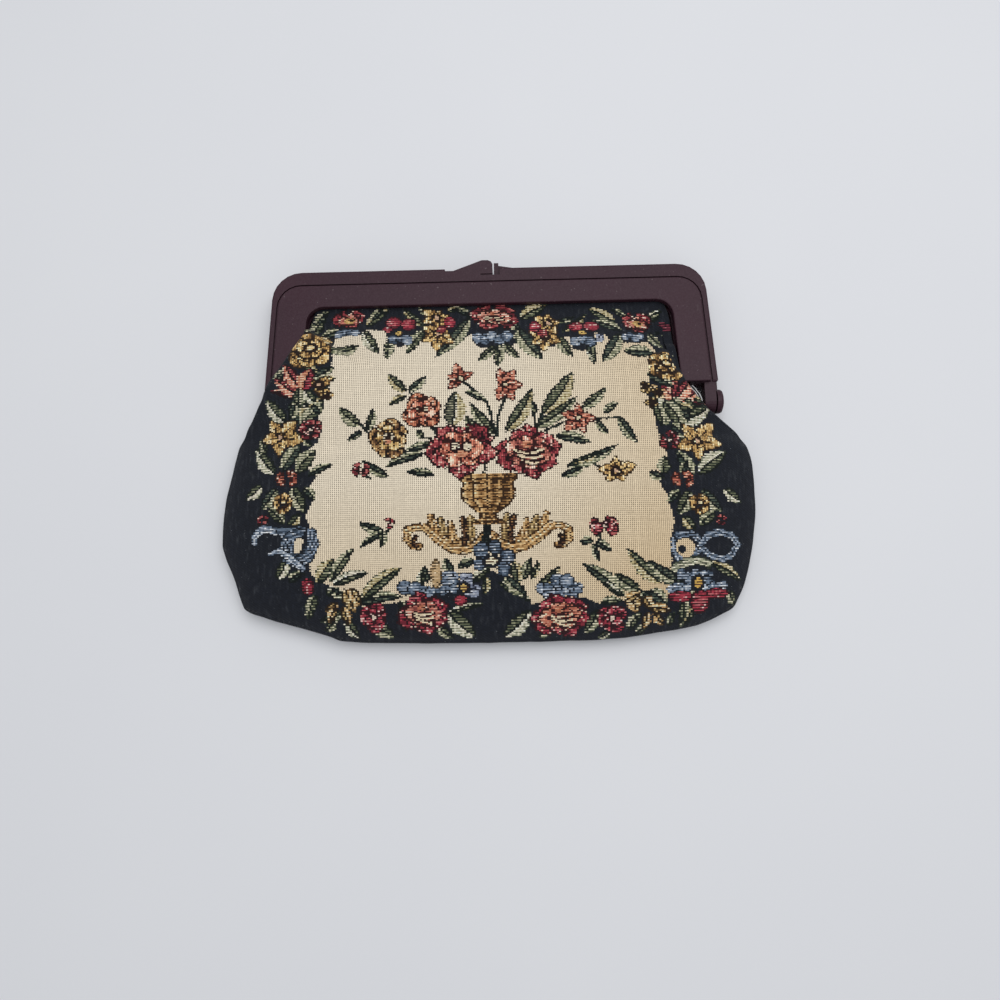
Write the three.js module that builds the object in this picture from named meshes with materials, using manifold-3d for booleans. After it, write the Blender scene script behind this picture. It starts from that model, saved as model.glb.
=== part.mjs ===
import * as THREE from 'three';
import { mergeVertices } from 'three/addons/utils/BufferGeometryUtils.js';
import Module from 'manifold-3d';

// Tapestry clutch lying closed on its back: X across, Y from the hem up to the clasp, Z up.
// Lengths are millimetres. Y counts from the line of the hinge pins and Z from the surface
// below, until the last lines move the origin under the middle of the whole clutch.

// Frame, seen on its face
const frameWidth = 166.2; // over the outer faces, at the top edge
const frameRise = 54.2; // hinge pins to the top edge
const armLean = 3.2; // degrees that each arm leans outwards
const armEnd = 6.5; // hinge pins to the cut end of an arm
const topBand = 5.7; // rim outside the groove, along the top
const armBand = 2.5; // the same rim, along an arm
const topPlate = 9.2; // face plate, along the top
const armPlate = 11.7; // face plate, along an arm
const rimCorner = 11.5;
const plateCorner = 9;
const mouthCorner = 6.5;
const cutRound = 0.8; // corners of an arm's cut end

// Frame, through its depth
const frameDepth = 13; // both halves shut
const parting = 0.3; // between the two halves
const rimStep = 1; // rim below the face plate
const rimRound = 0.7;
const plateRound = 0.4;
const grooveWidth = 0.8;
const grooveDepth = 0.8; // below the rim
const slotHeight = 2.4; // holds the cloth's edge
const slotDepth = 4;
const slotMiddle = 3; // above the parting line
const cutPast = 5; // groove and slot are cut on past the arms' ends

// Clasp: lengths run from the frame's middle line, heights from its top edge
const tabStart = 17;
const tabFoot = 13.7;
const tabCrest = 2.7;
const tabTip = 0.3;
const tabEnd = 1.5; // past the middle line
const tabRise = 3.1;
const tabDrop = 1.6; // rounded fall from crest to end
const notchDepth = 1;
const catchGap = 0.5; // between the tab's end and the catch
const catchWidth = 1.8;
const catchRise = 3.4;
const catchReach = 2.2; // past the parting line, into the other half
const catchSlope = 7.1;
const catchFall = 2.2;
const catchNotch = 2.9;
const slitLength = 4.7;
const slitHeight = 0.4;
const slitDrop = 2.4;

// Hinges
const knuckleRadius = 4.6;
const knuckleInset = 1.4; // arm's outer face to the inner knuckle
const knuckleWidth = 4.2;
const knuckleGap = 0.6; // between inner and outer knuckle
const bossWidth = 2.4;
const bossRound = 1;
const bossNeck = 1.3;
const pinRadius = 1;
const pinClearance = 0.3;
const bossWall = 0.9; // closes the outer end of the pin's hole

// Pouch
const pouchWidth = 199.5; // hem, across its widest place
const pouchDrop = 88.6; // hinge pins to the hem
const pouchCrown = 21; // front of the belly above the surface
const clothWall = 1.6;
const hemLevel = 4.3; // upper face of the back panel's edge
const hemGap = 0.3;
const clearance = 0.35; // cloth to frame
const tuck = 3; // cloth inside the frame's slot
const bellyMiddle = 0.28; // share of the drop, below the pins
const sleeveWall = 1;
const sleeveGap = 0.5; // gusset to knuckle

// Fold of the front panel over each arm, from the mouth down to the hem's start. Shares: out
// from the mouth's side over the arm's width, up over the arm's height (down over the pouch's
// drop where negative), and level from the back panel's edge to the top of the face plate.
const leftFold = [
  [-0.05, 0.80, 0.60],
  [-0.04, 0.76, 1.00],
  [0.03, 0.715, 1.00],
  [0.225, 0.621, 1.00],
  [0.43, 0.520, 1.00],
  [0.60, 0.430, 1.00],
  [0.78, 0.345, 1.00],
  [0.95, 0.270, 1.00],
  [1.08, 0.205, 0.98],
  [1.165, 0.126, 0.96],
  [1.21, 0.070, 0.93],
  [1.30, 0.015, 0.89],
  [1.40, -0.022, 0.82],
  [1.53, -0.050, 0.64],
  [1.70, -0.080, 0.42],
  [1.83, -0.115, 0.22],
];
const rightFold = [
  [-0.09, 0.57, 0.75],
  [-0.09, 0.51, 1.00],
  [-0.06, 0.40, 1.00],
  [-0.03, 0.28, 1.00],
  [0.07, 0.177, 1.00],
  [0.22, 0.095, 0.98],
  [0.39, 0.020, 0.94],
  [0.56, -0.020, 0.90],
  [0.72, -0.046, 0.84],
  [0.91, -0.060, 0.64],
  [1.10, -0.075, 0.44],
  [1.28, -0.092, 0.27],
  [1.50, -0.115, 0.14],
  [1.72, -0.142, 0.06],
];
// The back panel's edge stays inside both arms and passes below the hinges.
const backFold = [
  [-0.05, 0.60],
  [-0.05, 0.20],
  [-0.02, 0.03],
  [0.30, -0.046],
  [0.60, -0.074],
  [0.95, -0.086],
  [1.30, -0.090],
];

// Hem, from the right hinge round the bottom to the left hinge: shares of half the pouch's
// width and of its drop.
const hem = [
  [0.945, -0.172],
  [0.966, -0.207],
  [0.980, -0.290],
  [0.980, -0.432],
  [0.975, -0.517],
  [0.945, -0.685],
  [0.918, -0.781],
  [0.887, -0.850],
  [0.868, -0.883],
  [0.829, -0.906],
  [0.745, -0.945],
  [0.660, -0.965],
  [0.560, -0.980],
  [0.412, -0.997],
  [0.229, -1.000],
  [-0.064, -1.000],
  [-0.250, -0.997],
  [-0.430, -0.990],
  [-0.570, -0.978],
  [-0.614, -0.960],
  [-0.724, -0.921],
  [-0.865, -0.872],
  [-0.922, -0.845],
  [-0.938, -0.813],
  [-0.969, -0.717],
  [-1.008, -0.611],
  [-1.018, -0.569],
  [-1.011, -0.398],
  [-0.990, -0.279],
  [-0.967, -0.163],
];

// Rings of a panel from its middle out to its edge, as shares
const rings = [0.2, 0.4, 0.57, 0.7, 0.8, 0.88, 0.94, 0.98, 1];

// Names for what follows from the sizes
const halfDepth = frameDepth / 2;
const rimLevel = halfDepth - rimStep;
const slotLow = slotMiddle - slotHeight / 2;
const slotHigh = slotMiddle + slotHeight / 2;
const rimLine = { top: 0, arm: 0, radius: rimCorner };
const plateLine = { top: topBand, arm: armBand, radius: plateCorner };
const mouthLine = { top: topBand + topPlate, arm: armBand + armPlate, radius: mouthCorner };

// Meshes become solids for joining and cutting, and come back as geometry
const wasm = await Module();
wasm.setup();

function solid(geometry) {
  geometry.deleteAttribute('normal');
  geometry.deleteAttribute('uv');
  const merged = mergeVertices(geometry, 1e-4);
  return new wasm.Manifold(new wasm.Mesh({
    numProp: 3,
    vertProperties: new Float32Array(merged.attributes.position.array),
    triVerts: new Uint32Array(merged.index.array),
  }));
}

function geometryOf(manifold) {
  const { vertProperties, triVerts } = manifold.getMesh();
  const geometry = new THREE.BufferGeometry();
  geometry.setAttribute('position', new THREE.BufferAttribute(vertProperties, 3));
  geometry.setIndex(new THREE.BufferAttribute(triVerts, 1));
  geometry.computeVertexNormals();
  return geometry;
}

// Outline through corners of [x, y, radius], each corner turned by an arc
function rounded(corners, steps = 6) {
  const outline = [];
  corners.forEach(([x, y, radius], i) => {
    const corner = new THREE.Vector2(x, y);
    const [bx, by] = corners.at(i - 1);
    const [ax, ay] = corners[(i + 1) % corners.length];
    const before = new THREE.Vector2(bx, by).sub(corner).normalize();
    const after = new THREE.Vector2(ax, ay).sub(corner).normalize();
    if (!radius) {
      outline.push(corner);
      return;
    }
    const half = Math.acos(before.dot(after)) / 2;
    const towards = before.clone().add(after).normalize();
    const middle = corner.clone().addScaledVector(towards, radius / Math.sin(half));
    const from = corner.clone().addScaledVector(before, radius / Math.tan(half)).sub(middle);
    const to = corner.clone().addScaledVector(after, radius / Math.tan(half)).sub(middle);
    const turn = Math.atan2(from.cross(to), from.dot(to));
    for (let k = 0; k <= steps; k++) {
      const spoke = from.clone().rotateAround(new THREE.Vector2(), turn * k / steps);
      outline.push(middle.clone().add(spoke));
    }
  });
  return outline;
}

function slab(outline, a, b, edge = 0) {
  const low = Math.min(a, b);
  const high = Math.max(a, b);
  const geometry = new THREE.ExtrudeGeometry(new THREE.Shape(outline), {
    depth: high - low - 2 * edge,
    bevelEnabled: edge > 0,
    bevelThickness: edge,
    bevelSize: edge,
    bevelOffset: -edge,
    bevelSegments: 2,
  });
  geometry.translate(0, 0, low + edge);
  return solid(geometry);
}

function block(x0, x1, y0, y1, z0, z1) {
  const corners = [[x0, y0, 0], [x1, y0, 0], [x1, y1, 0], [x0, y1, 0]];
  return slab(rounded(corners), z0, z1);
}

// Disc about the hinge line, from x0 to x1
function barrel(radius, x0, x1, sides = 28) {
  const geometry = new THREE.CylinderGeometry(radius, radius, Math.abs(x1 - x0), sides);
  geometry.rotateZ(Math.PI / 2);
  geometry.translate((x0 + x1) / 2, 0, 0);
  return solid(geometry);
}

// Frame halves: the rim, the raised face plate, the groove between them and the cloth's slot
const armFace = (y) => frameWidth / 2 + (frameRise - y) * Math.tan(THREE.MathUtils.degToRad(armLean));
const faceOf = (line, y) => armFace(y) - line.arm / Math.cos(THREE.MathUtils.degToRad(armLean));

function frameOutline(outer, inner, end = armEnd, cut = cutRound) {
  const outerTop = frameRise - outer.top;
  const innerTop = frameRise - inner.top;
  return rounded([
    [-faceOf(outer, end), end, cut],
    [-faceOf(outer, outerTop), outerTop, outer.radius],
    [faceOf(outer, outerTop), outerTop, outer.radius],
    [faceOf(outer, end), end, cut],
    [faceOf(inner, end), end, cut],
    [faceOf(inner, innerTop), innerTop, inner.radius],
    [-faceOf(inner, innerTop), innerTop, inner.radius],
    [-faceOf(inner, end), end, cut],
  ]);
}

function inset(line, by) {
  return { top: line.top + by, arm: line.arm + by, radius: line.radius - by };
}

function frameHalf(side) {
  const pastEnd = armEnd - cutPast;
  const rim = slab(frameOutline(rimLine, mouthLine), side * parting / 2, side * rimLevel, rimRound);
  const plateOutline = frameOutline(inset(plateLine, grooveWidth / 2), mouthLine);
  const plate = slab(plateOutline, side * slotHigh, side * halfDepth, plateRound);
  const groove = slab(
    frameOutline(inset(plateLine, -grooveWidth / 2), inset(plateLine, grooveWidth / 2), pastEnd, 0),
    side * (rimLevel - grooveDepth),
    side * (halfDepth + 1),
  );
  const slot = slab(
    frameOutline(inset(mouthLine, -slotDepth), inset(mouthLine, slotDepth), pastEnd, 0),
    side * slotLow,
    side * slotHigh,
  );
  return rim.add(plate).subtract(groove).subtract(slot);
}

// Clasp: a sprung tab on the front half, cut free by a slit, snaps past a catch on the back half
function frontClasp(half) {
  const top = frameRise;
  const catchEnd = tabEnd + catchGap + catchWidth + catchGap;
  const tab = slab([
    new THREE.Vector2(-tabStart, top - catchNotch),
    new THREE.Vector2(tabEnd, top - catchNotch),
    new THREE.Vector2(tabEnd, top + tabRise - tabDrop),
    new THREE.Vector2(tabEnd - (tabEnd + tabTip) * 0.35, top + tabRise - tabDrop * 0.35),
    new THREE.Vector2(-tabTip, top + tabRise),
    new THREE.Vector2(-tabCrest, top + tabRise),
    new THREE.Vector2(-tabFoot, top - notchDepth),
    new THREE.Vector2(-tabStart, top - notchDepth),
  ], parting / 2, rimLevel);
  const over = frameDepth;
  const notch = block(-tabStart, catchEnd, top - notchDepth, top + over, 0, over);
  const well = block(tabEnd, catchEnd, top - catchNotch, top + over, 0, over);
  const slit = block(
    tabEnd - slitLength, catchEnd, top - slitDrop - slitHeight, top - slitDrop, 0, over,
  );
  return half.subtract(notch).add(tab).subtract(well).subtract(slit);
}

function backClasp(half) {
  const top = frameRise;
  const start = tabEnd + catchGap;
  const post = block(
    start, start + catchWidth, top - catchNotch + catchGap, top + catchRise, -rimLevel, catchReach,
  );
  const ramp = slab([
    new THREE.Vector2(start, top - topBand),
    new THREE.Vector2(tabStart, top - topBand),
    new THREE.Vector2(tabStart, top - rimRound),
    new THREE.Vector2(start + catchWidth + catchSlope, top + catchFall),
    new THREE.Vector2(start + catchWidth, top + catchRise),
    new THREE.Vector2(start, top + catchRise),
  ], -rimLevel, -parting / 2);
  return half.add(ramp).add(post);
}

// Hinges: an inner knuckle on each front arm, a round boss outside it on each back arm
const knuckleOut = armFace(0) - knuckleInset;
const knuckleIn = knuckleOut - knuckleWidth;
const bossIn = knuckleOut + knuckleGap;
const bossOut = bossIn + bossWidth;

function frontHinge(half, hand) {
  const barrelPart = barrel(knuckleRadius, hand * knuckleIn, hand * knuckleOut);
  const shank = block(
    Math.min(hand * knuckleIn, hand * knuckleOut), Math.max(hand * knuckleIn, hand * knuckleOut),
    0, armEnd + 2, parting / 2, knuckleRadius,
  );
  const hole = barrel(pinRadius + pinClearance, hand * (knuckleIn - 1), hand * (knuckleOut + 1), 16);
  return half.add(barrelPart).add(shank).subtract(hole);
}

function backHinge(half, hand) {
  const profile = [
    [0, 0],
    [knuckleRadius, 0],
    [knuckleRadius, bossWidth - bossRound],
    [knuckleRadius - bossRound * 0.3, bossWidth - bossRound * 0.3],
    [knuckleRadius - bossRound, bossWidth],
    [0, bossWidth],
  ].map(([radius, along]) => new THREE.Vector2(radius, along));
  const bossShape = new THREE.LatheGeometry(profile, 28);
  bossShape.rotateZ(hand * -Math.PI / 2);
  bossShape.translate(hand * bossIn, 0, 0);
  const inner = hand * bossIn;
  const outer = hand * (bossIn + bossNeck);
  const neck = block(
    Math.min(inner, outer), Math.max(inner, outer), 0, armEnd + 2, -knuckleRadius, -parting / 2,
  );
  const hole = barrel(
    pinRadius + pinClearance, hand * (bossIn - 0.3), hand * (bossOut - bossWall), 16,
  );
  return half.add(solid(bossShape)).add(neck).subtract(hole);
}

// Pouch panels: a shell between an outer and an inner surface, both drawn on rings that shrink
// from the edge to the middle of the belly. Each point of the edge has its place, its level
// and how quickly the cloth rolls up from it.
function shell(edge, levelAt, facing) {
  const middle = new THREE.Vector2(0, -bellyMiddle * pouchDrop);
  const places = [];
  const count = edge.length;
  const add = (x, y, z) => places.push(x, y, z);
  const layer = (depth, shares) => {
    for (const share of shares) {
      for (const point of edge) {
        const spoke = new THREE.Vector2(point.x, point.y).sub(middle);
        const reach = share * (1 - depth / spoke.length());
        const level = share < 1 ? levelAt(share, point) - facing * depth : point.lip;
        add(middle.x + spoke.x * reach, middle.y + spoke.y * reach, level);
      }
    }
  };
  add(middle.x, middle.y, levelAt(0, edge[0]));
  layer(0, rings.slice(0, -1));
  for (const point of edge) {
    add(point.x, point.y, point.lip + facing * clothWall);
  }
  for (const point of edge) {
    add(point.x, point.y, point.lip);
  }
  layer(clothWall, rings.slice().reverse());
  add(middle.x, middle.y, levelAt(0, edge[0]) - facing * clothWall);

  const faces = [];
  const face = (a, b, c) => faces.push(...(facing > 0 ? [a, b, c] : [a, c, b]));
  const loops = 2 * rings.length + 1;
  const last = 1 + loops * count;
  for (let i = 0; i < count; i++) {
    const next = (i + 1) % count;
    face(0, 1 + next, 1 + i);
    for (let loop = 0; loop + 1 < loops; loop++) {
      const here = 1 + loop * count;
      const below = here + count;
      face(here + i, here + next, below + next);
      face(here + i, below + next, below + i);
    }
    const end = 1 + (loops - 1) * count;
    face(last, end + i, end + next);
  }
  const geometry = new THREE.BufferGeometry();
  geometry.setAttribute('position', new THREE.Float32BufferAttribute(places, 3));
  geometry.setIndex(faces);
  geometry.computeVertexNormals();
  return geometry;
}

const mouthSide = (y) => faceOf(mouthLine, y);
const armHeight = frameRise - mouthLine.top;
const heldShare = 1 - (tuck + clearance) / (armHeight + tuck + bellyMiddle * pouchDrop);
const heightOf = (share) => share * (share > 0 ? armHeight : pouchDrop);

function foldPoint(hand, out, up) {
  const y = heightOf(up);
  const x = hand * (mouthSide(y) + out * armPlate);
  return { x, y };
}

function hemPoints(lip, roll) {
  return hem.map(([across, up]) => ({
    x: across * pouchWidth / 2, y: up * pouchDrop, lip, roll, held: 1,
  }));
}

// Tucked edge along the top bar, then down just inside the mouth's corner
function mouthPoints(hand, lip) {
  const top = armHeight + tuck;
  const corner = mouthSide(armHeight) - mouthCorner * 0.5;
  return [
    { x: 0, y: top },
    { x: hand * corner * 0.25, y: top },
    { x: hand * corner * 0.5, y: top },
    { x: hand * corner * 0.75, y: top },
    { x: hand * corner, y: top },
    { x: hand * (mouthSide(armHeight) - 2.4 * clearance - mouthCorner * 0.25), y: armHeight },
    { x: hand * (mouthSide(armHeight) - 2.4 * clearance), y: armHeight - mouthCorner * 0.8 },
  ].map((point) => ({ ...point, lip, roll: 1.5, held: heldShare }));
}

const midDepth = frameDepth / 2;
const frontTuck = midDepth + slotMiddle - clothWall / 2;
const backTuck = midDepth - slotMiddle + clothWall / 2;
const overPlate = frameDepth + clearance;

function frontFold(hand, table) {
  return table.map(([out, up, level], i) => ({
    ...foldPoint(hand, out, up),
    lip: THREE.MathUtils.lerp(hemLevel, overPlate, level),
    roll: Math.max(0.75, 1.1 - 0.1 * i),
    held: 1,
  }));
}

function backSide(hand) {
  return backFold.map(([out, up]) => ({
    ...foldPoint(hand, out, up), lip: hemLevel, roll: 0.8, held: 1,
  }));
}

function loop(right, left, lower) {
  return [...right, ...lower, ...left.slice(1).reverse()];
}

const frontEdge = loop(
  [...mouthPoints(1, frontTuck), ...frontFold(1, rightFold)],
  [...mouthPoints(-1, frontTuck), ...frontFold(-1, leftFold)],
  hemPoints(hemLevel + hemGap, 0.62),
);
const backEdge = loop(
  [...mouthPoints(1, backTuck), ...backSide(1)],
  [...mouthPoints(-1, backTuck), ...backSide(-1)],
  hemPoints(hemLevel, 0.8),
);

// Steps in level and roll along the edge fade out towards the middle
function eased(edge, reach = 6) {
  return edge.map((point, i) => {
    const near = [];
    for (let k = -reach; k <= reach; k++) {
      near.push(edge[(i + k + edge.length) % edge.length]);
    }
    const mean = (key) => near.reduce((sum, other) => sum + other[key], 0) / near.length;
    return { ...point, calm: { lip: mean('lip'), roll: mean('roll'), held: mean('held') } };
  });
}

function easedAt(share, point) {
  const nearEdge = THREE.MathUtils.smoothstep(share, 0.6, 0.9);
  const mix = (key) => THREE.MathUtils.lerp(point.calm[key], point[key], nearEdge);
  return { lip: mix('lip'), roll: mix('roll'), out: Math.min(1, share / mix('held')) };
}

function frontLevel(share, point) {
  const near = easedAt(share, point);
  const lip = near.lip + clothWall;
  return lip + (pouchCrown - lip) * (1 - near.out ** 2.4) ** near.roll;
}

// The back lies flat on the surface and turns up only near its edge
function backLevel(share, point) {
  const near = easedAt(share, point);
  const lip = near.lip - clothWall;
  return lip * (1 - Math.min(1, 2.2 * (1 - near.out ** 3) ** near.roll));
}

// Gussets: the lining's edge, standing between the cloth and each inner knuckle
function gusset(hand) {
  const x = knuckleIn - sleeveGap - sleeveWall / 2;
  const path = [
    [x - sleeveWall * 4, armEnd - sleeveGap - sleeveWall],
    [x - sleeveWall * 2, armEnd - sleeveGap - sleeveWall * 1.3],
    [x - sleeveWall * 0.7, armEnd * 0.5],
    [x, 0],
    [x - sleeveWall * 0.2, -knuckleRadius * 0.4],
    [x - sleeveWall * 0.8, -knuckleRadius * 0.75],
  ].map(([px, py]) => new THREE.Vector2(hand * px, py));
  const curve = new THREE.SplineCurve(path);
  const points = curve.getPoints(14);
  const sides = points.map((point, i) => {
    const along = curve.getTangent(i / 14);
    return new THREE.Vector2(-along.y, along.x).multiplyScalar(sleeveWall / 2);
  });
  const left = points.map((point, i) => point.clone().add(sides[i]));
  const right = points.map((point, i) => point.clone().sub(sides[i])).reverse();
  return slab([...left, ...right], clothWall + clearance, midDepth + knuckleRadius * 0.85);
}

// Materials
const shellPlastic = new THREE.MeshStandardMaterial({ color: 0x43343a, roughness: 0.42 });
const tapestry = new THREE.MeshStandardMaterial({ color: 0xa8977a, roughness: 0.92 });
const backCloth = new THREE.MeshStandardMaterial({ color: 0x26282f, roughness: 0.95 });
const lining = new THREE.MeshStandardMaterial({ color: 0x8d8f90, roughness: 0.9 });
const steel = new THREE.MeshStandardMaterial({ color: 0x9a9a98, roughness: 0.35, metalness: 1 });

const clutch = new THREE.Group();
const frame = new THREE.Group();
frame.position.z = midDepth;
clutch.add(frame);

function place(name, geometry, material, parent = clutch) {
  const mesh = new THREE.Mesh(geometry, material);
  mesh.name = name;
  parent.add(mesh);
}

let frontHalf = frontClasp(frameHalf(1));
let backHalf = backClasp(frameHalf(-1));
for (const hand of [-1, 1]) {
  frontHalf = frontHinge(frontHalf, hand);
  backHalf = backHinge(backHalf, hand);
}
place('frame_front', geometryOf(frontHalf), shellPlastic, frame);
place('frame_back', geometryOf(backHalf), shellPlastic, frame);
for (const [name, hand] of [['left', -1], ['right', 1]]) {
  const pinOut = bossOut - bossWall - pinClearance;
  place(`hinge_pin_${name}`, geometryOf(barrel(pinRadius, hand * knuckleIn, hand * pinOut, 16)), steel, frame);
  place(`gusset_${name}`, geometryOf(gusset(hand)), lining);
}
place('pouch_front', shell(eased(frontEdge), frontLevel, 1), tapestry);
place('pouch_back', shell(eased(backEdge), backLevel, -1), backCloth);

const box = new THREE.Box3().setFromObject(clutch);
const middle = box.getCenter(new THREE.Vector3());
clutch.position.set(-middle.x, -middle.y, -box.min.z);

export default clutch;
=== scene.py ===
import math

import bmesh
import bpy
import numpy as np
from mathutils import Matrix, Vector
from mathutils.noise import noise


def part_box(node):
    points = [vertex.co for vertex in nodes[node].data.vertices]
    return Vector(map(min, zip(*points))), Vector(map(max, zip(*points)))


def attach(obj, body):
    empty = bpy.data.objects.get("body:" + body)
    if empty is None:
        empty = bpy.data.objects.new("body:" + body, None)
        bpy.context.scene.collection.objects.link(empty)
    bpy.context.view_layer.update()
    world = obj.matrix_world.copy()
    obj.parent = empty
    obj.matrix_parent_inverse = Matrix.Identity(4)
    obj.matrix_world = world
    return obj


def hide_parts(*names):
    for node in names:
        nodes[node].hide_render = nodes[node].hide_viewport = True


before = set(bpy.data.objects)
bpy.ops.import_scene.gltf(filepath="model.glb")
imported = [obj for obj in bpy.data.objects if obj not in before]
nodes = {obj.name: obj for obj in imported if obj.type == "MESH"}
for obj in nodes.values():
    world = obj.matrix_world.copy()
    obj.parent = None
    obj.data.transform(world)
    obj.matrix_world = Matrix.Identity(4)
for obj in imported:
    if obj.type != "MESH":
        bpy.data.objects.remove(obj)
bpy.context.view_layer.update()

scene = bpy.context.scene
mm = 0.001


print("camera")
view = {
    "place": (0.0041, -0.06455, 0.28445),  # metres
    "tilt": 9.0,  # degrees from straight down
    "roll": -1.4,
    "lens": 27.0,
}
eye = bpy.data.objects.new("photoCamera", bpy.data.cameras.new("photoCamera"))
eye.data.lens = view["lens"]
eye.data.clip_start = 0.01
tilt = Matrix.Rotation(math.radians(view["tilt"]), 4, "X")
roll = Matrix.Rotation(math.radians(view["roll"]), 4, "Z")
eye.matrix_world = Matrix.Translation(view["place"]) @ tilt @ roll
scene.collection.objects.link(eye)
scene.camera = eye
scene.view_settings.view_transform = "Standard"


class Wire:
    # one shader socket, used in Python sums as if it were a number, a vector or a colour
    def __init__(self, tree, socket=None):
        self.tree = tree
        self.socket = socket

    def add(self, kind, settings=None, inputs=None, out=0):
        node = self.tree.nodes.new("ShaderNode" + kind)
        for key, value in (settings or {}).items():
            setattr(node, key, value)
        for key, value in (inputs or {}).items():
            if isinstance(value, Wire):
                self.tree.links.new(value.socket, node.inputs[key])
            else:
                node.inputs[key].default_value = value
        return Wire(self.tree, node.outputs[out])

    def isVector(self):
        return self.socket.type in ("VECTOR", "RGBA")

    def sum(self, operation, a, b=None):
        pair = [value for value in (a, b) if value is not None]
        vectors = any(isinstance(value, Wire) and value.isVector() for value in pair)
        if not vectors:
            return self.add("Math", {"operation": operation}, dict(enumerate(pair)))
        full = [(value,) * 3 if isinstance(value, (int, float)) else value for value in pair]
        return self.add("VectorMath", {"operation": operation}, dict(enumerate(full)))

    def __add__(self, other):
        return self.sum("ADD", self, other)

    __radd__ = __add__

    def __mul__(self, other):
        return self.sum("MULTIPLY", self, other)

    __rmul__ = __mul__

    def __sub__(self, other):
        return self.sum("SUBTRACT", self, other)

    def __rsub__(self, other):
        return self.sum("SUBTRACT", other, self)

    def __truediv__(self, other):
        return self.sum("DIVIDE", self, other)

    def fract(self):
        return self.sum("FRACT", self) if not self.isVector() else self.sum("FRACTION", self)

    def sine(self):
        return self.sum("SINE", self)

    def size(self):
        return self.sum("ABSOLUTE", self)

    def smooth(self, low, high):
        settings = {"interpolation_type": "SMOOTHSTEP"}
        return self.add("MapRange", settings, {"Value": self, "From Min": low, "From Max": high})

    def part(self, axis):
        return self.add("SeparateXYZ", None, {0: self}, axis)

    def noise(self, scale, detail=2, rough=0.5):
        wanted = {"Vector": self, "Scale": scale, "Detail": detail, "Roughness": rough}
        return self.add("TexNoise", None, wanted)

    def blend(self, first, second):
        # self is the share of the second colour
        return self.add("Mix", {"data_type": "RGBA"}, {0: self, 6: first, 7: second}, 2)

    def bump(self, strength, distance):
        return self.add("Bump", None, {"Height": self, "Strength": strength, "Distance": distance})


def newFinish(name, **fixed):
    # a material with its main shader; fixed values go straight onto the shader
    finish = bpy.data.materials.new(name)
    finish.use_nodes = True
    shader = finish.node_tree.nodes["Principled BSDF"]
    for key, value in fixed.items():
        shader.inputs[key].default_value = value
    return finish, shader, Wire(finish.node_tree)


def join(tree, wire, shader, name):
    tree.links.new(wire.socket, shader.inputs[name])


lightShare = 0.88  # seen colour over surface colour


def tone(red, green, blue):
    # a seen colour, 0 to 255, as the surface colour that gives it under this light
    return tuple(min(1, (v / 255) ** 2.2 / lightShare) for v in (red, green, blue)) + (1,)


print("finishes")
framePlastic = {
    "tone": (49, 29, 38),
    "warmTone": (54, 29, 40),
    "roughness": 0.46,
    "grain": 9000.0,
    "grainDepth": 0.00002,
    "dustShare": 0.74,
}


def makeFramePlastic():
    look = framePlastic
    finish, shader, wire = newFinish("maroonPlastic", **{"Specular IOR Level": 0.26})
    place = wire.add("TexCoord", None, None, 3)
    cloud = place.noise(28, 3)
    fine = place.noise(1800, 2, 0.6)
    body = cloud.smooth(0.35, 0.7).blend(tone(*look["tone"]), tone(*look["warmTone"]))
    mottled = fine.smooth(0.3, 0.8).blend(body, tone(60, 41, 49))
    dust = place.noise(900, 1, 0.4).smooth(look["dustShare"], look["dustShare"] + 0.04)
    scuff = (place * (1, 0.25, 1)).noise(420, 4, 0.7).smooth(0.62, 0.75)
    dusty = (dust * 0.22 + scuff * 0.06).blend(mottled, tone(150, 142, 142))
    join(finish.node_tree, dusty, shader, "Base Color")
    join(finish.node_tree, look["roughness"] + cloud * 0.10 + dust * 0.2, shader, "Roughness")
    grain = place.noise(look["grain"] / 3, 3, 0.6)
    join(finish.node_tree, grain.bump(0.35, look["grainDepth"]), shader, "Normal")
    return finish


def makePinSteel():
    finish, shader, wire = newFinish("pinSteel", **{"Metallic": 1.0})
    place = wire.add("TexCoord", None, None, 3)
    drawn = (place * (0.1, 1, 1)).noise(2500, 2)
    join(finish.node_tree, drawn.blend(tone(120, 120, 118), tone(170, 168, 164)), shader, "Base Color")
    join(finish.node_tree, 0.3 + drawn * 0.2, shader, "Roughness")
    return finish


weave = {
    "threads": 0.48,  # mm from thread to thread of the plain cloth
    "depth": 0.00012,
    "tone": (34, 37, 44),
    "worn": (58, 61, 68),
}


def makePlainCloth():
    finish, shader, wire = newFinish(
        "plainCloth",
        **{"Specular IOR Level": 0.15, "Sheen Weight": 0.12, "Sheen Roughness": 0.5},
    )
    place = wire.add("TexCoord", None, None, 3)
    wander = place.noise(90, 2) * 0.9
    across = (place.part(0) * (2 * math.pi / (weave["threads"] * mm)) + wander).sine()
    along = (place.part(1) * (2 * math.pi / (weave["threads"] * mm)) + wander).sine()
    height = across * along
    slub = (place * (1, 0.12, 1)).noise(700, 3)
    worn = (height * 0.25 + slub * 0.7).smooth(0.2, 0.9)
    join(finish.node_tree, worn.blend(tone(*weave["tone"]), tone(*weave["worn"])), shader, "Base Color")
    join(finish.node_tree, 0.82 + slub * 0.14, shader, "Roughness")
    join(finish.node_tree, height.bump(0.6, weave["depth"]), shader, "Normal")
    return finish


liningThreads = 0.35  # mm from thread to thread of the lining


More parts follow.
